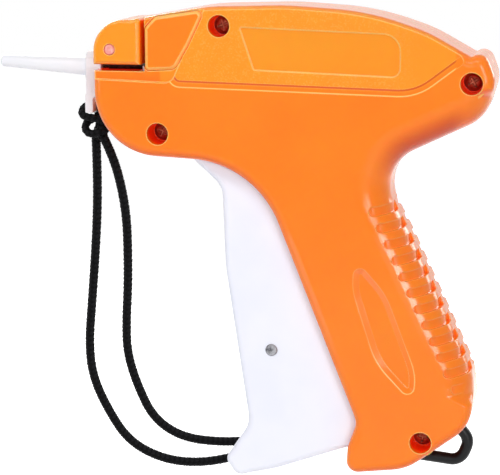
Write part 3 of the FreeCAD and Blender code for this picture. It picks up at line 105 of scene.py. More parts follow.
class Finish:
    """A material of one skin shader, whose nodes are added by name."""

    def __init__(self, name, colour, roughness, fixed=None):
        self.material = bpy.data.materials.new(name)
        self.material.use_nodes = True
        self.tree = self.material.node_tree
        self.skin = self.tree.nodes["Principled BSDF"]
        self.give(self.skin.inputs["Base Color"], colour)
        self.give(self.skin.inputs["Roughness"], roughness)
        for word, value in (fixed or {}).items():
            self.give(self.skin.inputs[word], value)

    def give(self, socket, value):
        if isinstance(value, Value):
            self.tree.links.new(value.socket, socket)
        elif socket.type == "RGBA":
            socket.default_value = (*value, 1.0)
        else:
            socket.default_value = value

    def node(self, kind, settings, inputs, out=0):
        made = self.tree.nodes.new("ShaderNode" + kind)
        for word, value in settings.items():
            setattr(made, word, value)
        for word, value in inputs.items():
            self.give(made.inputs[word], value)
        return Value(self, made.outputs[out])

    def feed(self, **values):
        for word, value in values.items():
            self.give(self.skin.inputs[word.replace("_", " ")], value)
        return self

    # the few nodes that several finishes share

    def place(self):
        return self.node("TexCoord", {}, {}, out=3)

    def from_mouth(self, spot):
        """How far back, across and up from the needle's mouth, in millimetres."""
        parts = self.node("SeparateXYZ", {}, {"Vector": spot}).socket.node.outputs
        return [Value(self, part) * (1.0 / MM) + home for part, home in zip(parts, GRIP)]

    def facing(self, axis):
        """How far the surface faces along an axis, from -1 to 1."""
        return self.node("SeparateXYZ", {}, {"Vector": self.node("NewGeometry", {}, {}, out=1)}, out=axis)

    def noise(self, size_mm, detail=3.0, rough=0.55, where=None):
        inputs = {
            "Vector": where or self.place(),
            "Scale": 1000.0 / size_mm,
            "Detail": detail,
            "Roughness": rough,
        }
        return self.node("TexNoise", {}, inputs)

    def ramp(self, value, low, high):
        """0 at low and 1 at high, smooth between."""
        inputs = {"Value": value, "From Min": low, "From Max": high}
        return self.node("MapRange", {"interpolation_type": "SMOOTHSTEP"}, inputs)

    def span(self, value, fades):
        """0 up to the first of four fades, 1 between the middle two, and 0 past the last."""
        rise, full, fall, gone = fades
        return self.ramp(value, rise, full) * (1.0 - self.ramp(value, fall, gone))

    def mix(self, share, first, second):
        return self.node("Mix", {"data_type": "RGBA"}, {0: share, 6: first, 7: second}, out=2)

    def bump(self, height, depth_mm, under=None):
        inputs = {"Height": height, "Strength": 1.0, "Distance": depth_mm * MM}
        if under:
            inputs["Normal"] = under
        return self.node("Bump", {}, inputs)

    def rounded(self, radius_mm):
        """The normal of an edge rounded over by that radius."""
        return self.node("Bevel", {"samples": 6}, {"Radius": radius_mm * MM})

    def hollow(self, reach_mm, open_share, shut_share):
        """1 down narrow holes and gaps, and 0 where the surface looks out freely."""
        seen = self.node("AmbientOcclusion", {"samples": 8}, {"Distance": reach_mm * MM}, out=1)
        return 1.0 - self.ramp(seen, shut_share, open_share)

    def edges(self, soft):
        """1 on an edge and 0 on open faces, from how far the rounded normal leans."""
        plain = self.node("NewGeometry", {}, {}, out=1)
        lean = self.node("VectorMath", {"operation": "DOT_PRODUCT"}, {0: soft, 1: plain}, out=1)
        return self.ramp(1.0 - lean, 0.004, 0.055)

    def chamfers(self):
        """1 on faces that slope between the front and the sides."""
        return self.span(-self.facing(1), (0.45, 0.60, 0.82, 0.93))


ORANGE = (1.0, 0.212, 0.004)
AMBER = (1.0, 0.33, 0.012)
STRAW = (1.0, 0.50, 0.11)
# painted highlight, on edges, chamfers and the borders' crest
PAINTED_HIGHLIGHT_ORANGE = (1.0, 0.61, 0.17)
# painted shade, on faces that look down and along the foot of the borders
PAINTED_SHADE_ORANGE = (0.70, 0.075, 0.004)
# painted shade under the horn
SHADED_ORANGE = (0.52, 0.035, 0.001)
# painted shade down holes and gaps
PAINTED_HOLLOW_RED = (0.95, 0.034, 0.001)
BLACK = (0.0, 0.0, 0.0)
# painted glow in the hollows, a small emission though no lamp
PAINTED_HOLLOW_GLOW = (0.12, 0.022, 0.0)
PAINTED_DEEP_GLOW = (0.135, 0.005, 0.0)
TRANSLUCENT = 0.35
PEEL_DEPTH = 0.05
EDGE_RADIUS = 0.55

# Places on the shells, in millimetres from the needle's mouth. A place with four numbers fades in and out.
ZONE_FLOOR = ZONE_DEPTH - HALF_WIDTH
ZONE_ALONG = (22.6, 23.4, 108.6, 109.6)
ZONE_FOOT = (-10.4, -9.6)
ZONE_CLIMB = (97.0, 105.0)
ZONE_RISE = 4.5
ZONE_LAYER = (-0.5, -0.1, 0.8, 1.2)  # inward from the zone's floor
GRAIN_DEPTH = (0.1, 0.25)  # inward from the zone's floor
GRAIN_END = (84.0, 104.0)
# bands of the painted highlight along the crest and of the painted shade along the foot
CREST = (0.01, 0.05, 0.10, 0.16)  # inward from the face
FOOT = (-0.27, -0.16, -0.05, -0.01)  # inward from the zone's floor
LEAF_TOP = (80.6, -53.8)
LEAF_WAY = (0.400, -0.917)  # back and down
LEAF_WIDE = (-7.2, -6.6, 6.6, 7.2)
LEAF_HIGH = (-101.0, -99.0, -50.0, -48.0)
LEAF_DULL = (-88.0, -76.0)
# where the painted shade under the horn lies
HORN_ALONG = (80.0, 90.0, 107.0, 113.0)
HORN_FOOT = (-52.0, -42.0)
PALM_SIDE = (-16.0, -14.0)
PALM_HIGH = (-92.0, -68.0, -49.0, -46.0)
PALM_TURN = (0.03, 0.10, 0.36, 0.50)  # how far its surface faces back
# where the painted edge highlights are fainter, on the palm
FAINT_HIGHLIGHT_SIDE = (-9.4, -8.4)
FAINT_HIGHLIGHT_TOP = (-34.0, -30.0)


def shell_marks(f, spot):
    """Shares from 0 to 1 of what is special on the shells: zone, grain, borders with a painted highlight and painted
    shade, painted shade under the horn, and palm.
    """
    along, across, height = f.from_mouth(spot)
    across = -abs(across)  # both sides alike
    inward = across - ZONE_FLOOR
    lifted = height - f.ramp(along, *ZONE_CLIMB) * ZONE_RISE
    zone = f.ramp(lifted, *ZONE_FOOT) * f.span(along, ZONE_ALONG)
    sunk = f.span(inward, ZONE_LAYER) * zone
    grain = sunk * (1.0 - f.ramp(inward, *GRAIN_DEPTH)) * (1.0 - f.ramp(along, *GRAIN_END))
    aslant = (along - LEAF_TOP[0]) * LEAF_WAY[1] - (height - LEAF_TOP[1]) * LEAF_WAY[0]
    leaf = f.span(aslant, LEAF_WIDE) * f.span(height, LEAF_HIGH)
    # less painted highlight on the leaf's lower part
    dull = leaf * f.ramp(height, *LEAF_DULL) * 0.75
    # on the palm the painted edge highlights are fainter
    palm_faint_highlight = (1.0 - f.ramp(aslant, *FAINT_HIGHLIGHT_SIDE)) * (1.0 - f.ramp(height, *FAINT_HIGHLIGHT_TOP))
    palm = f.span(abs(f.facing(0)), PALM_TURN) * f.span(height, PALM_HIGH) * f.ramp(aslant, *PALM_SIDE)
    return {
        "sunk": sunk,
        "grain": grain,
        # painted highlight along the crest of the sloped borders
        "crest": f.span(across + HALF_WIDTH, CREST) * (zone + leaf - dull),
        # painted shade along the foot of the sloped borders
        "foot": f.span(inward, FOOT) * zone,
        # how strong the painted edge highlights are
        "edges": (1.0 - palm_faint_highlight * 0.75) * (1.0 - dull),
        # painted shade under the horn
        "painted_horn_shade": f.span(along, HORN_ALONG) * f.ramp(height, *HORN_FOOT),
        "palm": palm,
    }


def orange_moulding(name, warmth, shell=False, chamfer_highlight=0.0):
    """Glossy orange mouldings: faint flow marks and orange peel, with painted highlights on edges, painted shade on
    faces that look down, and deep red painted shade and a painted glow in hollows.
    """
    fixed = {
        "IOR": 1.36, "Emission Strength": 1.0, "Coat IOR": 1.8, "Coat Roughness": 0.14,
        "Subsurface Weight": TRANSLUCENT, "Subsurface Radius": (1.0, 0.14, 0.01),
        "Subsurface Scale": TRANSLUCENT * 0.009,
    }
    f = Finish(name, ORANGE, 0.17, fixed)
    spot = f.place()
    flow = f.noise(26.0, 2.0, where=spot)
    peel = f.noise(1.1, 2.0, where=spot)
    specks = f.noise(2.6, 4.0, 0.7, where=spot)
    soft = f.rounded(EDGE_RADIUS)
    edge_highlight = f.edges(soft)
    rough = 0.16 + (specks - 0.5) * 0.10
    relief = peel * 0.07
    amber = warmth + (flow - 0.5) * 0.5
    marks = shell_marks(f, spot) if shell else {}
    if shell:
        # the sunk zone is warmer, with a spark grain that thins out backwards
        sand = f.noise(0.48, 2.0, 0.7, where=spot)
        relief = relief + sand * marks["grain"] * 1.5
        rough = rough + marks["grain"] * 0.2
        amber = amber + marks["sunk"] * 0.7
        # painted edge highlights, weaker where the shell's marks say so
        edge_highlight = edge_highlight * marks["edges"]
    colour = f.mix(amber, ORANGE, AMBER)
    # painted shade: faces that look down are darker
    downward = -f.facing(2)
    colour = f.mix(f.ramp(downward, 0.05, 0.85) * 0.55, colour, PAINTED_SHADE_ORANGE)
    if shell:
        # painted shade under the horn; on the sloped borders, a painted highlight along the crest and painted shade
        # along the foot
        colour = f.mix(f.ramp(downward, 0.1, 0.8) * marks["painted_horn_shade"] * 0.7, colour, SHADED_ORANGE)
        colour = f.mix(marks["grain"] * f.ramp(sand, 0.50, 0.68) * 0.36, colour, STRAW)
        colour = f.mix(marks["foot"] * 0.9, colour, PAINTED_SHADE_ORANGE)
        colour = f.mix(marks["crest"] * 0.95, colour, PAINTED_HIGHLIGHT_ORANGE)
        f.feed(Coat_Weight=marks["palm"] * 0.33)  # polished by the hand
    # painted highlight on the chamfers
    if chamfer_highlight:
        colour = f.mix(f.chamfers() * chamfer_highlight, colour, PAINTED_HIGHLIGHT_ORANGE)
    # painted highlight on the edges
    colour = f.mix(edge_highlight, colour, PAINTED_HIGHLIGHT_ORANGE)
    # painted shade: deep red down holes and gaps, by ambient occlusion
    deep = f.hollow(8.0, 0.42, 0.15)
    colour = f.mix(deep, colour, PAINTED_HOLLOW_RED)
    # painted glow: a small emission in the hollows, standing for light that the plastic lets through
    painted_glow = f.mix(f.hollow(3.0, 0.75, 0.4), BLACK, PAINTED_HOLLOW_GLOW)
    painted_glow = f.mix(deep, painted_glow, PAINTED_DEEP_GLOW)
    normal = f.bump(relief, PEEL_DEPTH, soft)
    return f.feed(Base_Color=colour, Roughness=rough, Normal=normal, Emission_Color=painted_glow).material


def white_moulding(name, colour, shade, roughness, through):
    """Bluish white moulding with a satin skin and faint sink and flow marks."""
    fixed = {"Subsurface Weight": through, "Subsurface Radius": (0.6, 0.6, 0.7), "Subsurface Scale": 0.002}
    f = Finish(name, colour, roughness, fixed)
    flow = f.noise(18.0, 2.0)
    peel = f.noise(1.3, 2.0)
    scuff = f.noise(3.2, 4.0, 0.72)
    soft = f.rounded(0.3)
    tone = f.mix(f.ramp(flow, 0.35, 0.7) * 0.6, colour, shade)
    tone = f.mix(f.ramp(scuff, 0.66, 0.8) * 0.25, tone, shade)
    rough = roughness + (scuff - 0.5) * 0.14
    return f.feed(Base_Color=tone, Roughness=rough, Normal=f.bump(peel, 0.006, soft)).material


def steel_finish(name, colour, dark, roughness, metal=1.0):
    """Plain, worn or blackened steel with fine turning marks and dull spots."""
    f = Finish(name, colour, roughness, {"Metallic": metal})
    spot = f.place()
    grain = f.noise(0.35, 3.0, 0.7, where=spot)
    dull = f.noise(1.6, 3.0, 0.6, where=spot)
    tone = f.mix(f.ramp(dull, 0.42, 0.68), colour, dark)
    rough = roughness + (grain - 0.5) * 0.22 + f.ramp(dull, 0.5, 0.75) * 0.14
    return f.feed(Base_Color=tone, Roughness=rough, Normal=f.bump(grain, 0.012, f.rounded(0.12))).material


def rubber_finish(name):
    """Smooth black elastomer with a soft sheen and dusty patches."""
    f = Finish(name, (0.006, 0.006, 0.007), 0.36, {"Specular IOR Level": 0.2})
    dust = f.noise(2.4, 4.0, 0.65)
    fine = f.noise(0.5, 2.0)
    tone = f.mix(f.ramp(dust, 0.5, 0.75) * 0.5, (0.005, 0.005, 0.006), (0.022, 0.021, 0.022))
    rough = 0.32 + f.ramp(dust, 0.45, 0.7) * 0.22
    return f.feed(Base_Color=tone, Roughness=rough, Normal=f.bump(fine, 0.02)).material


def cord_finish(name):
    """Black polyester braid: fine filaments along each yarn, a little lint, a painted sheen on the yarns laid one
    way and painted shade between the yarns.
    """
    f = Finish(name, (0.004, 0.004, 0.005), 0.5, {"Specular IOR Level": 0.05})
    spot = f.place()
    filament = f.noise(0.16, 2.0, 0.6, where=spot)
    lint = f.noise(0.9, 4.0, 0.7, where=spot)
    # painted sheen: the yarns laid one way are lighter
    lay = f.node("Attribute", {"attribute_name": "lay"}, {}, out=2)
    tone = f.mix(f.ramp(filament, 0.4, 0.75) * 0.5 + lay * 0.5, (0.001, 0.001, 0.001), (0.013, 0.013, 0.015))
    tone = f.mix(f.ramp(lint, 0.66, 0.82) * 0.4, tone, (0.035, 0.034, 0.033))
    # painted shade between the yarns
    tone = f.mix(f.hollow(0.6, 0.75, 0.35), tone, (0.001, 0.001, 0.001))
    rough = 0.38 + filament * 0.25
    return f.feed(Base_Color=tone, Roughness=rough, Normal=f.bump(filament, 0.06)).material


def button_finish(name):
    """Glossy pink button that lets a little light in."""
    fixed = {"Coat Weight": 0.4, "Subsurface Weight": 0.2, "Subsurface Scale": 0.001}
    f = Finish(name, (0.86, 0.33, 0.29), 0.22, fixed)
    cloud = f.noise(1.2, 2.0)
    tone = f.mix(f.ramp(cloud, 0.4, 0.65), (0.84, 0.29, 0.25), (0.92, 0.42, 0.37))
    return f.feed(Base_Color=tone, Roughness=0.18 + cloud * 0.12, Normal=f.bump(cloud, 0.01)).material


SHELL = orange_moulding("orange_shell", 0.05, shell=True)
NOSE_ORANGE = orange_moulding("orange_nose", 0.9, chamfer_highlight=0.3)
COVER_ORANGE = orange_moulding("orange_cover", 0.15, chamfer_highlight=0.75)
TRIGGER_WHITE = white_moulding("trigger_white", (0.86, 0.87, 0.96), (0.80, 0.82, 0.94), 0.38, 0.06)
CAP_WHITE = white_moulding("cap_white", (0.86, 0.86, 0.90), (0.80, 0.80, 0.87), 0.36, 0.15)
INNER_WHITE = white_moulding("inner_nylon", (0.80, 0.80, 0.78), (0.70, 0.70, 0.67), 0.42, 0.10)
WORN_PIN = steel_finish("worn_pin_steel", (0.32, 0.32, 0.34), (0.09, 0.09, 0.10), 0.42)
STEEL = steel_finish("bright_steel", (0.66, 0.66, 0.68), (0.40, 0.40, 0.42), 0.30)
BLACKENED = steel_finish("blackened_hub", (0.05, 0.04, 0.04), (0.02, 0.018, 0.018), 0.42)
DARK_STEEL = steel_finish("bronzed_steel", (0.34, 0.08, 0.04), (0.18, 0.045, 0.02), 0.34, metal=0.7)
RUBBER = rubber_finish("black_elastomer")
BRAID = cord_finish("black_braid")
PINK = button_finish("pink_button")


def dress_frame():
    """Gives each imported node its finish."""
    finishes = {
        SHELL: ("left_shell", "right_shell"),
        NOSE_ORANGE: ("nose_block",),
        COVER_ORANGE: ("feed_cover",),
        TRIGGER_WHITE: ("trigger",),
        CAP_WHITE: ("needle_cap",),
        INNER_WHITE: ("plunger_slide", "feed_wheel", "feed_pawl"),
        STEEL: (
            "needle_tube", "knife_blade", "feed_wheel_axle", "check_spring", "pawl_pin", "lever_pivot_pin",
            "trigger_pivot_pin", "return_spring", "connecting_link", "drive_lever", "lever_link_pin",
            "slide_pin", "ejector_rod",
        ),
        DARK_STEEL: ("housing_screws",),
        WORN_PIN: ("trigger_link_pin",),
        BLACKENED: ("needle_hub",),
        RUBBER: ("hanging_loop",),
        BRAID: ("strap_strand_a", "strap_strand_b", "strap_knot"),
        PINK: ("needle_release_button",),
    }
    for finish, names in finishes.items():
        for name in names:
            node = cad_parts[name]
            node.data.materials.clear()
            node.data.materials.append(finish)


# ---------------------------------------------------------------- meshes


def new_piece(name, form, finish, body, smooth=True):
    """A mesh object from a bmesh, riding on its body."""
    bmesh.ops.recalc_face_normals(form, faces=form.faces)
    data = bpy.data.meshes.new(name)
    form.to_mesh(data)
    form.free()
    data.materials.append(finish)
    data.polygons.foreach_set("use_smooth", [smooth] * len(data.polygons))
    piece = bpy.data.objects.new(name, data)
    bpy.context.scene.collection.objects.link(piece)
    if body:
        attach(piece, body)
    return piece


def skin_rings(form, rings, lay=0.0):
    """Quads between rings of equally many points, with a face on each end."""
    layer = form.verts.layers.float.get("lay") or form.verts.layers.float.new("lay")
    loops = [[form.verts.new(p) for p in ring] for ring in rings]
    for loop in loops:
        for vert in loop:
            vert[layer] = lay
    count = len(loops[0])
    for lower, upper in zip(loops, loops[1:]):
        for i in range(count):
            j = (i + 1) % count
            form.faces.new((lower[i], lower[j], upper[j], upper[i]))
    form.faces.new(list(reversed(loops[0])))
    form.faces.new(loops[-1])


def smooth_route(points):
    """Points read along the smooth spline that has these points as its controls."""
    data = bpy.data.curves.new("route", "CURVE")
    data.dimensions = "3D"
    data.resolution_u = 24
    spline = data.splines.new("NURBS")
    spline.points.add(len(points) - 1)
    for spot, point in zip(spline.points, points):
        spot.co = (*at(*point), 1.0)
    spline.order_u = 3
    spline.use_endpoint_u = True
    holder = bpy.data.objects.new("route", data)
    bpy.context.scene.collection.objects.link(holder)
    bpy.context.view_layer.update()
    line = bpy.data.meshes.new_from_object(holder)
    spots = [v.co.copy() for v in line.vertices]
    bpy.data.objects.remove(holder)
    bpy.data.curves.remove(data)
    bpy.data.meshes.remove(line)
    return spots


def even_steps(spots, step):
    """The same line in steps of about the given length."""
    far = [0.0]
    for a, b in zip(spots, spots[1:]):
        far.append(far[-1] + (b - a).length)
    count = max(2, round(far[-1] / step))
    steps = []
    i = 0
    for k in range(count + 1):
        goal = far[-1] * k / count
        while i < len(far) - 2 and far[i + 1] < goal:
            i += 1
        span = far[i + 1] - far[i] or 1.0
        steps.append(spots[i].lerp(spots[i + 1], min(1.0, (goal - far[i]) / span)))
    return steps, far[-1]


def carried_frames(spots):
    """Point, forward, side and up along a line, turning as little as possible."""
    frames = []
    side = None
    for i, spot in enumerate(spots):
        ahead = (spots[min(i + 1, len(spots) - 1)] - spots[max(i - 1, 0)]).normalized()
        if side is None:
            side = ahead.orthogonal().normalized()
        side = (side - ahead * side.dot(ahead)).normalized()
        frames.append((spot, ahead, side, ahead.cross(side)))
    return frames


def round_tube(form, frames, radius):
    rings = []
    for spot, ahead, side, up in frames:
        turn = [2 * math.pi * k / CORE_SIDES for k in range(CORE_SIDES)]
        rings.append([spot + (side * math.cos(t) + up * math.sin(t)) * radius for t in turn])
    skin_rings(form, rings)


YARNS = 4  # each way round
YARN_SIDES = 6
CORE_SIDES = 12
YARN_THICK = 0.30  # shares of half the cord's diameter
YARN_WIDE = 0.50
YARN_SUNK = 0.14
YARN_WAVE = 0.12


def braid(form, spots, diameter, pitch, step=0.45 * MM):
    """Yarns laid both ways round a core, each over one and under the next."""
    steps, length = even_steps(spots, step)
    frames = carried_frames(steps)
    half = diameter / 2
    thick = half * YARN_THICK
    wide = half * YARN_WIDE
    core = half - thick - half * YARN_SUNK
    round_tube(form, frames, core)
    span = length / (len(frames) - 1)
    corners = [2 * math.pi * corner / YARN_SIDES for corner in range(YARN_SIDES)]
    for way in (1, -1):
        for yarn in range(YARNS):
            centres = []
            for k, (spot, ahead, side, up) in enumerate(frames):
                turns = k * span / pitch
                turn = way * 2 * math.pi * turns + 2 * math.pi * yarn / YARNS
                wave = math.cos(2 * math.pi * YARNS * turns) * way
                out = side * math.cos(turn) + up * math.sin(turn)
                centres.append((spot + out * (core + thick * 0.35 + wave * half * YARN_WAVE), out))
            rings = []
            for k, (centre, out) in enumerate(centres):
                ahead = centres[min(k + 1, len(centres) - 1)][0] - centres[max(k - 1, 0)][0]
                flat = ahead.cross(out).normalized()
                rings.append([centre + flat * math.cos(t) * wide + out * math.sin(t) * thick for t in corners])
            skin_rings(form, rings, lay=0.5 + 0.5 * way)


# ---------------------------------------------------------------- wrist strap

STRAP_WIDTH = 2.8 * MM
STRAP_PITCH = 6.4 * MM
KNOT_WIDTH = STRAP_WIDTH * 0.86
KNOT_STEP = 0.4 * MM
STRAND_A = [
    (-0.6, 2.2, -22.1), (-0.5, 3.0, -34.0), (-1.2, 4.6, -47.0), (-2.6, 6.4, -61.0), (-4.4, 8.4, -76.0),
    (-5.8, 9.7, -88.6), (-4.9, 10.1, -99.0), (-0.5, 10.1, -109.0), (6.4, 10.1, -119.6), (17.5, 10.1, -125.0),
    (30.0, 10.1, -125.6), (43.0, 10.1, -122.2), (56.0, 10.1, -119.6), (70.0, 10.1, -116.3), (85.0, 10.1, -113.6),
]
STRAND_B = [
    (2.65, -1.0, -22.1), (5.6, -1.2, -28.0), (7.8, -0.2, -37.0), (8.8, 1.8, -47.0), (8.4, 4.4, -58.4),
    (7.7, 6.7, -69.6), (6.6, 8.5, -80.4), (6.4, 9.8, -91.0), (9.6, 10.1, -101.6), (14.6, 10.1, -111.8),
    (23.6, 10.1, -117.5), (36.0, 10.1, -118.5), (49.0, 10.1, -117.0), (62.0, 10.1, -113.8), (74.0, 10.1, -110.6),
    (85.0, 10.1, -110.4),
]


def strap_knot():
    """Cow hitch of the doubled cord through the foot of the cap's leg."""
    turns = [
        # from behind the leg, out round its edge and across under its foot
        [
            (1.4, 1.8, -14.2), (0.4, 1.7, -12.8), (-2.4, 1.4, -12.4), (-4.2, 0.4, -13.8), (-4.0, -1.0, -15.5),
            (-1.9, -1.9, -16.2), (0.6, -2.2, -16.2), (2.9, -1.9, -17.0), (3.7, -0.8, -18.8),
        ],
        # low loop with the open eye
        [
            (2.0, 0.9, -15.8), (-0.4, 1.3, -16.6), (-2.6, 0.9, -17.4), (-3.4, -0.4, -19.2), (-2.2, -1.6, -20.9),
            (0.2, -2.3, -21.1), (2.2, -2.2, -20.0), (3.3, -1.0, -18.4),
        ],
        # outer turn down the shell's side and round both tails
        [
            (0.4, 2.0, -13.6), (2.6, 1.4, -14.4), (3.6, 0.2, -16.2), (3.9, -0.6, -18.2), (3.2, -1.2, -20.4),
            (1.4, -1.0, -21.6), (-0.2, 0.4, -21.4),
        ],
        [(0.6, 0.6, -14.8), (1.6, 0.0, -17.6), (2.0, -0.4, -20.2), (1.4, -0.6, -22.0)],
        # the two tails, up into the middle
        [(-0.6, 2.2, -22.0), (0.2, 1.2, -20.0), (1.4, 0.2, -17.6)],
        [(2.65, -1.0, -22.0), (2.2, -0.6, -20.2), (1.6, -0.4, -18.0)],
    ]
    form = bmesh.new()
    for points in turns:
        braid(form, smooth_route(points), KNOT_WIDTH, STRAP_PITCH, step=KNOT_STEP)
    knot = new_piece("strap_hitch", form, BRAID, "cap")
    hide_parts("strap_knot")
    return knot


def strap_strand(name, node, points):
    """One braided strand, from the shell up to the hitch."""
    points = list(reversed(points))
    spots = smooth_route(points)
    form = bmesh.new()
    braid(form, spots, STRAP_WIDTH, STRAP_PITCH)
    strand = new_piece(name, form, BRAID, None)
    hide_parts(node)
    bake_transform(strand)
    return strand


# ---------------------------------------------------------------- screws

SCREWS = ((40.5, 12.4), (22.3, -19.2), (113.6, -3.0), (100.7, -108.6))
WELL_DEPTH = 7.2
HEAD_RADIUS = 2.75
HEAD_HEIGHT = 1.9
DOME_RADIUS = 1.95
DOME_HEIGHT = 0.6
DOME_RINGS = 22
FLANGE_DEPTH = 1.3
CROSS_REACH = 1.65
CROSS_DEPTH = 0.6
CROSS_HALF_ARM = 0.42
CROSS_FLANK = 0.14
NECK_RADIUS = 1.38
CORE_RADIUS = 1.0
THREAD_HEIGHT = 0.36
THREAD_PITCH = 1.1
THREAD_STEP = 0.16
SHANK_END = 17.4
POINT_LENGTH = 2.4
SCREW_SIDES = 64


def cross_depth(x, z):
    """How deep the driver's cross is at a point of the head, in millimetres."""
    reach = math.hypot(x, z)
    if reach > CROSS_REACH:
        return 0.0
    arm = min(abs(x), abs(z))
    flank = max(0.0, min(1.0, (CROSS_HALF_ARM - arm) / CROSS_FLANK))
    return CROSS_DEPTH * (1.0 - 0.45 * reach / CROSS_REACH) * flank


def screw_dome(x, z, top, lean):
    """Rings of the domed head with its cross, the first a single point."""
    rings = []
    for i in range(DOME_RINGS + 1):
        reach = DOME_RADIUS * i / DOME_RINGS
        crown = DOME_HEIGHT * (1.0 - math.sqrt(max(0.0, 1.0 - (reach / DOME_RADIUS) ** 2 * 0.9)))
        ring = []
        for k in range(SCREW_SIDES if i else 1):
            turn = 2 * math.pi * k / SCREW_SIDES
            deep = cross_depth(reach * math.cos(turn), reach * math.sin(turn))
            ring.append(at(x + reach * math.cos(turn + lean), top + crown + deep, z + reach * math.sin(turn + lean)))
        rings.append(ring)
    return rings


def screw_body(x, z, top):
    """Rings of the dome's side, flange, flat underside and threaded shank."""
    profile = [
        (DOME_RADIUS + 0.04, FLANGE_DEPTH - 0.12), (DOME_RADIUS + 0.16, FLANGE_DEPTH),
        (HEAD_RADIUS - 0.1, FLANGE_DEPTH + 0.06), (HEAD_RADIUS, FLANGE_DEPTH + 0.16),
        (HEAD_RADIUS, HEAD_HEIGHT), (NECK_RADIUS, HEAD_HEIGHT),
    ]
    shares = [k / SCREW_SIDES for k in range(SCREW_SIDES)]
    reaches = [([reach] * SCREW_SIDES, depth) for reach, depth in profile]
    depth = HEAD_HEIGHT
    while depth < SHANK_END:
        depth += THREAD_STEP
        taper = max(0.15, min(1.0, (SHANK_END - depth) / POINT_LENGTH))
        phases = [(depth / THREAD_PITCH - share) % 1.0 for share in shares]
        ridges = [max(0.0, 1.0 - abs(phase - 0.5) * 4.4) for phase in phases]
        reaches.append(([(CORE_RADIUS + THREAD_HEIGHT * ridge) * taper for ridge in ridges], depth))
    rings = []
    for ring, depth in reaches:
        corners = []
        for reach, share in zip(ring, shares):
            turn = 2 * math.pi * share
            corners.append(at(x + reach * math.cos(turn), top + depth, z + reach * math.sin(turn)))
        rings.append(corners)
    return rings


def housing_screws():
    """Four pan head screws on thin flanges in their wells, with crossed driver slots and threaded shanks."""
    form = bmesh.new()
    top = WELL_DEPTH - HALF_WIDTH
    for number, (x, z) in enumerate(SCREWS):
        lean = 0.3 + 0.9 * number
        rings = screw_dome(x, z, top, lean) + screw_body(x, z, top)
        made = [[form.verts.new(p) for p in ring] for ring in rings]
        for k in range(SCREW_SIDES):
            form.faces.new((made[0][0], made[1][k], made[1][(k + 1) % SCREW_SIDES]))
        for lower, upper in zip(made[1:], made[2:]):
            for k in range(SCREW_SIDES):
                j = (k + 1) % SCREW_SIDES
                form.faces.new((lower[k], lower[j], upper[j], upper[k]))
        form.faces.new(made[-1])
    screws = new_piece("cross_head_screws", form, DARK_STEEL, "housing")
    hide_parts("housing_screws")
    return screws


# ---------------------------------------------------------------- stage, light and camera


WHITE = (1.0, 1.0, 1.0, 1.0)
SKY = (0.97, 0.98, 1.0, 1.0)
SKY_STRENGTH = 0.23
FLOOR_GREY = (0.80, 0.80, 0.80, 1.0)
FLOOR_SHINE = 0.79
FLOOR_DROP = 0.12  # metres under the object
FLOOR_REACH = 3.0


def white_outside(tree, weak, output, plain):
    """Shows the plain shader to the camera and to reflections, and the weak one to all other rays."""
    path = tree.nodes.new("ShaderNodeLightPath")
    seen = path.outputs["Is Camera Ray"]
    for word in ("Is Glossy Ray", "Is Transmission Ray"):
        added = tree.nodes.new("ShaderNodeMath")
        added.operation = "MAXIMUM"
        tree.links.new(seen, added.inputs[0])
        tree.links.new(path.outputs[word], added.inputs[1])
        seen = added.outputs[0]
    mixed = tree.nodes.new("ShaderNodeMixShader")
    tree.links.new(seen, mixed.inputs[0])
    tree.links.new(weak, mixed.inputs[1])
    tree.links.new(plain, mixed.inputs[2])
    tree.links.new(mixed.outputs[0], output)


def studio():
    world = bpy.data.worlds.new("studio")
    bpy.context.scene.world = world
    world.use_nodes = True
    tree = world.node_tree
    soft = tree.nodes["Background"]
    soft.inputs["Color"].default_value = SKY
    soft.inputs["Strength"].default_value = SKY_STRENGTH
    white = tree.nodes.new("ShaderNodeBackground")
    white.inputs["Color"].default_value = WHITE
    white.inputs["Strength"].default_value = 1.0
    white_outside(tree, soft.outputs[0], tree.nodes["World Output"].inputs["Surface"], white.outputs[0])


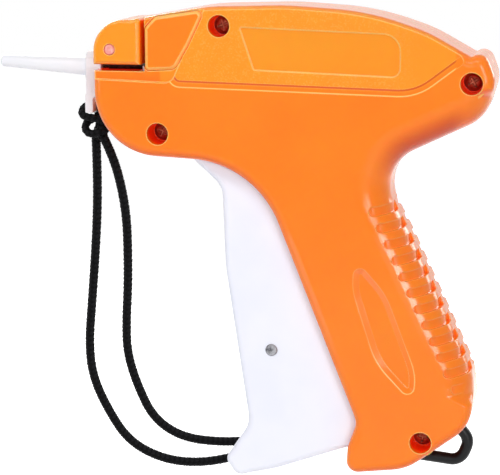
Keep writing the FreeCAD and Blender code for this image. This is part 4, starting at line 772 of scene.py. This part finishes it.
def pale_floor():
    """A floor whose lit part comes up to white, so that the object's shadow stays on it."""
    finish = bpy.data.materials.new("pale_floor")
    finish.use_nodes = True
    tree = finish.node_tree
    skin = tree.nodes["Principled BSDF"]
    skin.inputs["Base Color"].default_value = FLOOR_GREY
    skin.inputs["Roughness"].default_value = 0.9
    shine = tree.nodes.new("ShaderNodeEmission")
    shine.inputs["Color"].default_value = WHITE
    shine.inputs["Strength"].default_value = FLOOR_SHINE
    shaded = tree.nodes.new("ShaderNodeAddShader")
    tree.links.new(skin.outputs[0], shaded.inputs[0])
    tree.links.new(shine.outputs[0], shaded.inputs[1])
    white_outside(tree, skin.outputs[0], tree.nodes["Material Output"].inputs["Surface"], shaded.outputs[0])
    form = bmesh.new()
    low = CAD_BOX[0][2] - FLOOR_DROP
    ways = ((-1, -1), (1, -1), (1, 1), (-1, 1))
    form.faces.new([form.verts.new((x * FLOOR_REACH, y * FLOOR_REACH, low)) for x, y in ways])
    floor = new_piece("floor", form, finish, None, smooth=False)


def lamp(name, spot, size, power):
    """A soft box that looks at the object's middle."""
    data = bpy.data.lights.new(name, "AREA")
    data.shape = "RECTANGLE"
    data.size, data.size_y = size
    data.energy = power
    made = bpy.data.objects.new(name, data)
    made.location = spot
    made.rotation_euler = (Vector(LAMP_AIM) - Vector(spot)).to_track_quat("-Z", "Y").to_euler()
    bpy.context.scene.collection.objects.link(made)


LAMP_AIM = (-0.03, 0.0, 0.02)


def lights():
    lamp("overhead_softbox", (-0.12, -0.57, 0.70), (0.9, 0.2), 3.3)
    lamp("right_softbox", (0.40, -0.81, 0.10), (0.40, 0.26), 2.5)
    lamp("left_softbox", (-0.78, -0.50, 0.16), (0.3, 0.4), 1.1)
    lamp("front_softbox", (0.05, -1.1, 0.27), (0.5, 0.3), 0.9)
    lamp("top_softbox", (0.0, 0.10, 0.72), (0.8, 0.3), 0.6)
    lamp("back_left_softbox", (-0.55, 0.75, 0.40), (0.5, 0.4), 3.7)
    lamp("back_right_softbox", (0.55, 0.75, 0.30), (0.5, 0.4), 3.7)


CAMERA_SPOT = (0.0643, -0.5584, 0.1224)
CAMERA_AIM = (-0.0412, 0.0, 0.0222)


def camera():
    data = bpy.data.cameras.new("view")
    data.lens = 138.5
    data.sensor_width = 36.0
    data.sensor_fit = "HORIZONTAL"
    data.clip_start = 0.01
    data.clip_end = 20.0
    made = bpy.data.objects.new("view", data)
    made.location = CAMERA_SPOT
    aim = Vector(CAMERA_AIM) - Vector(CAMERA_SPOT)
    made.rotation_euler = aim.to_track_quat("-Z", "Y").to_euler()
    bpy.context.scene.collection.objects.link(made)
    bpy.context.scene.camera = made


camera()
dress_frame()
hitch = strap_knot()
strap_strand("strap_braid_a", "strap_strand_a", STRAND_A)
strap_strand("strap_braid_b", "strap_strand_b", STRAND_B)
housing_screws()
studio()
pale_floor()
lights()
bpy.context.scene.view_settings.view_transform = "Standard"
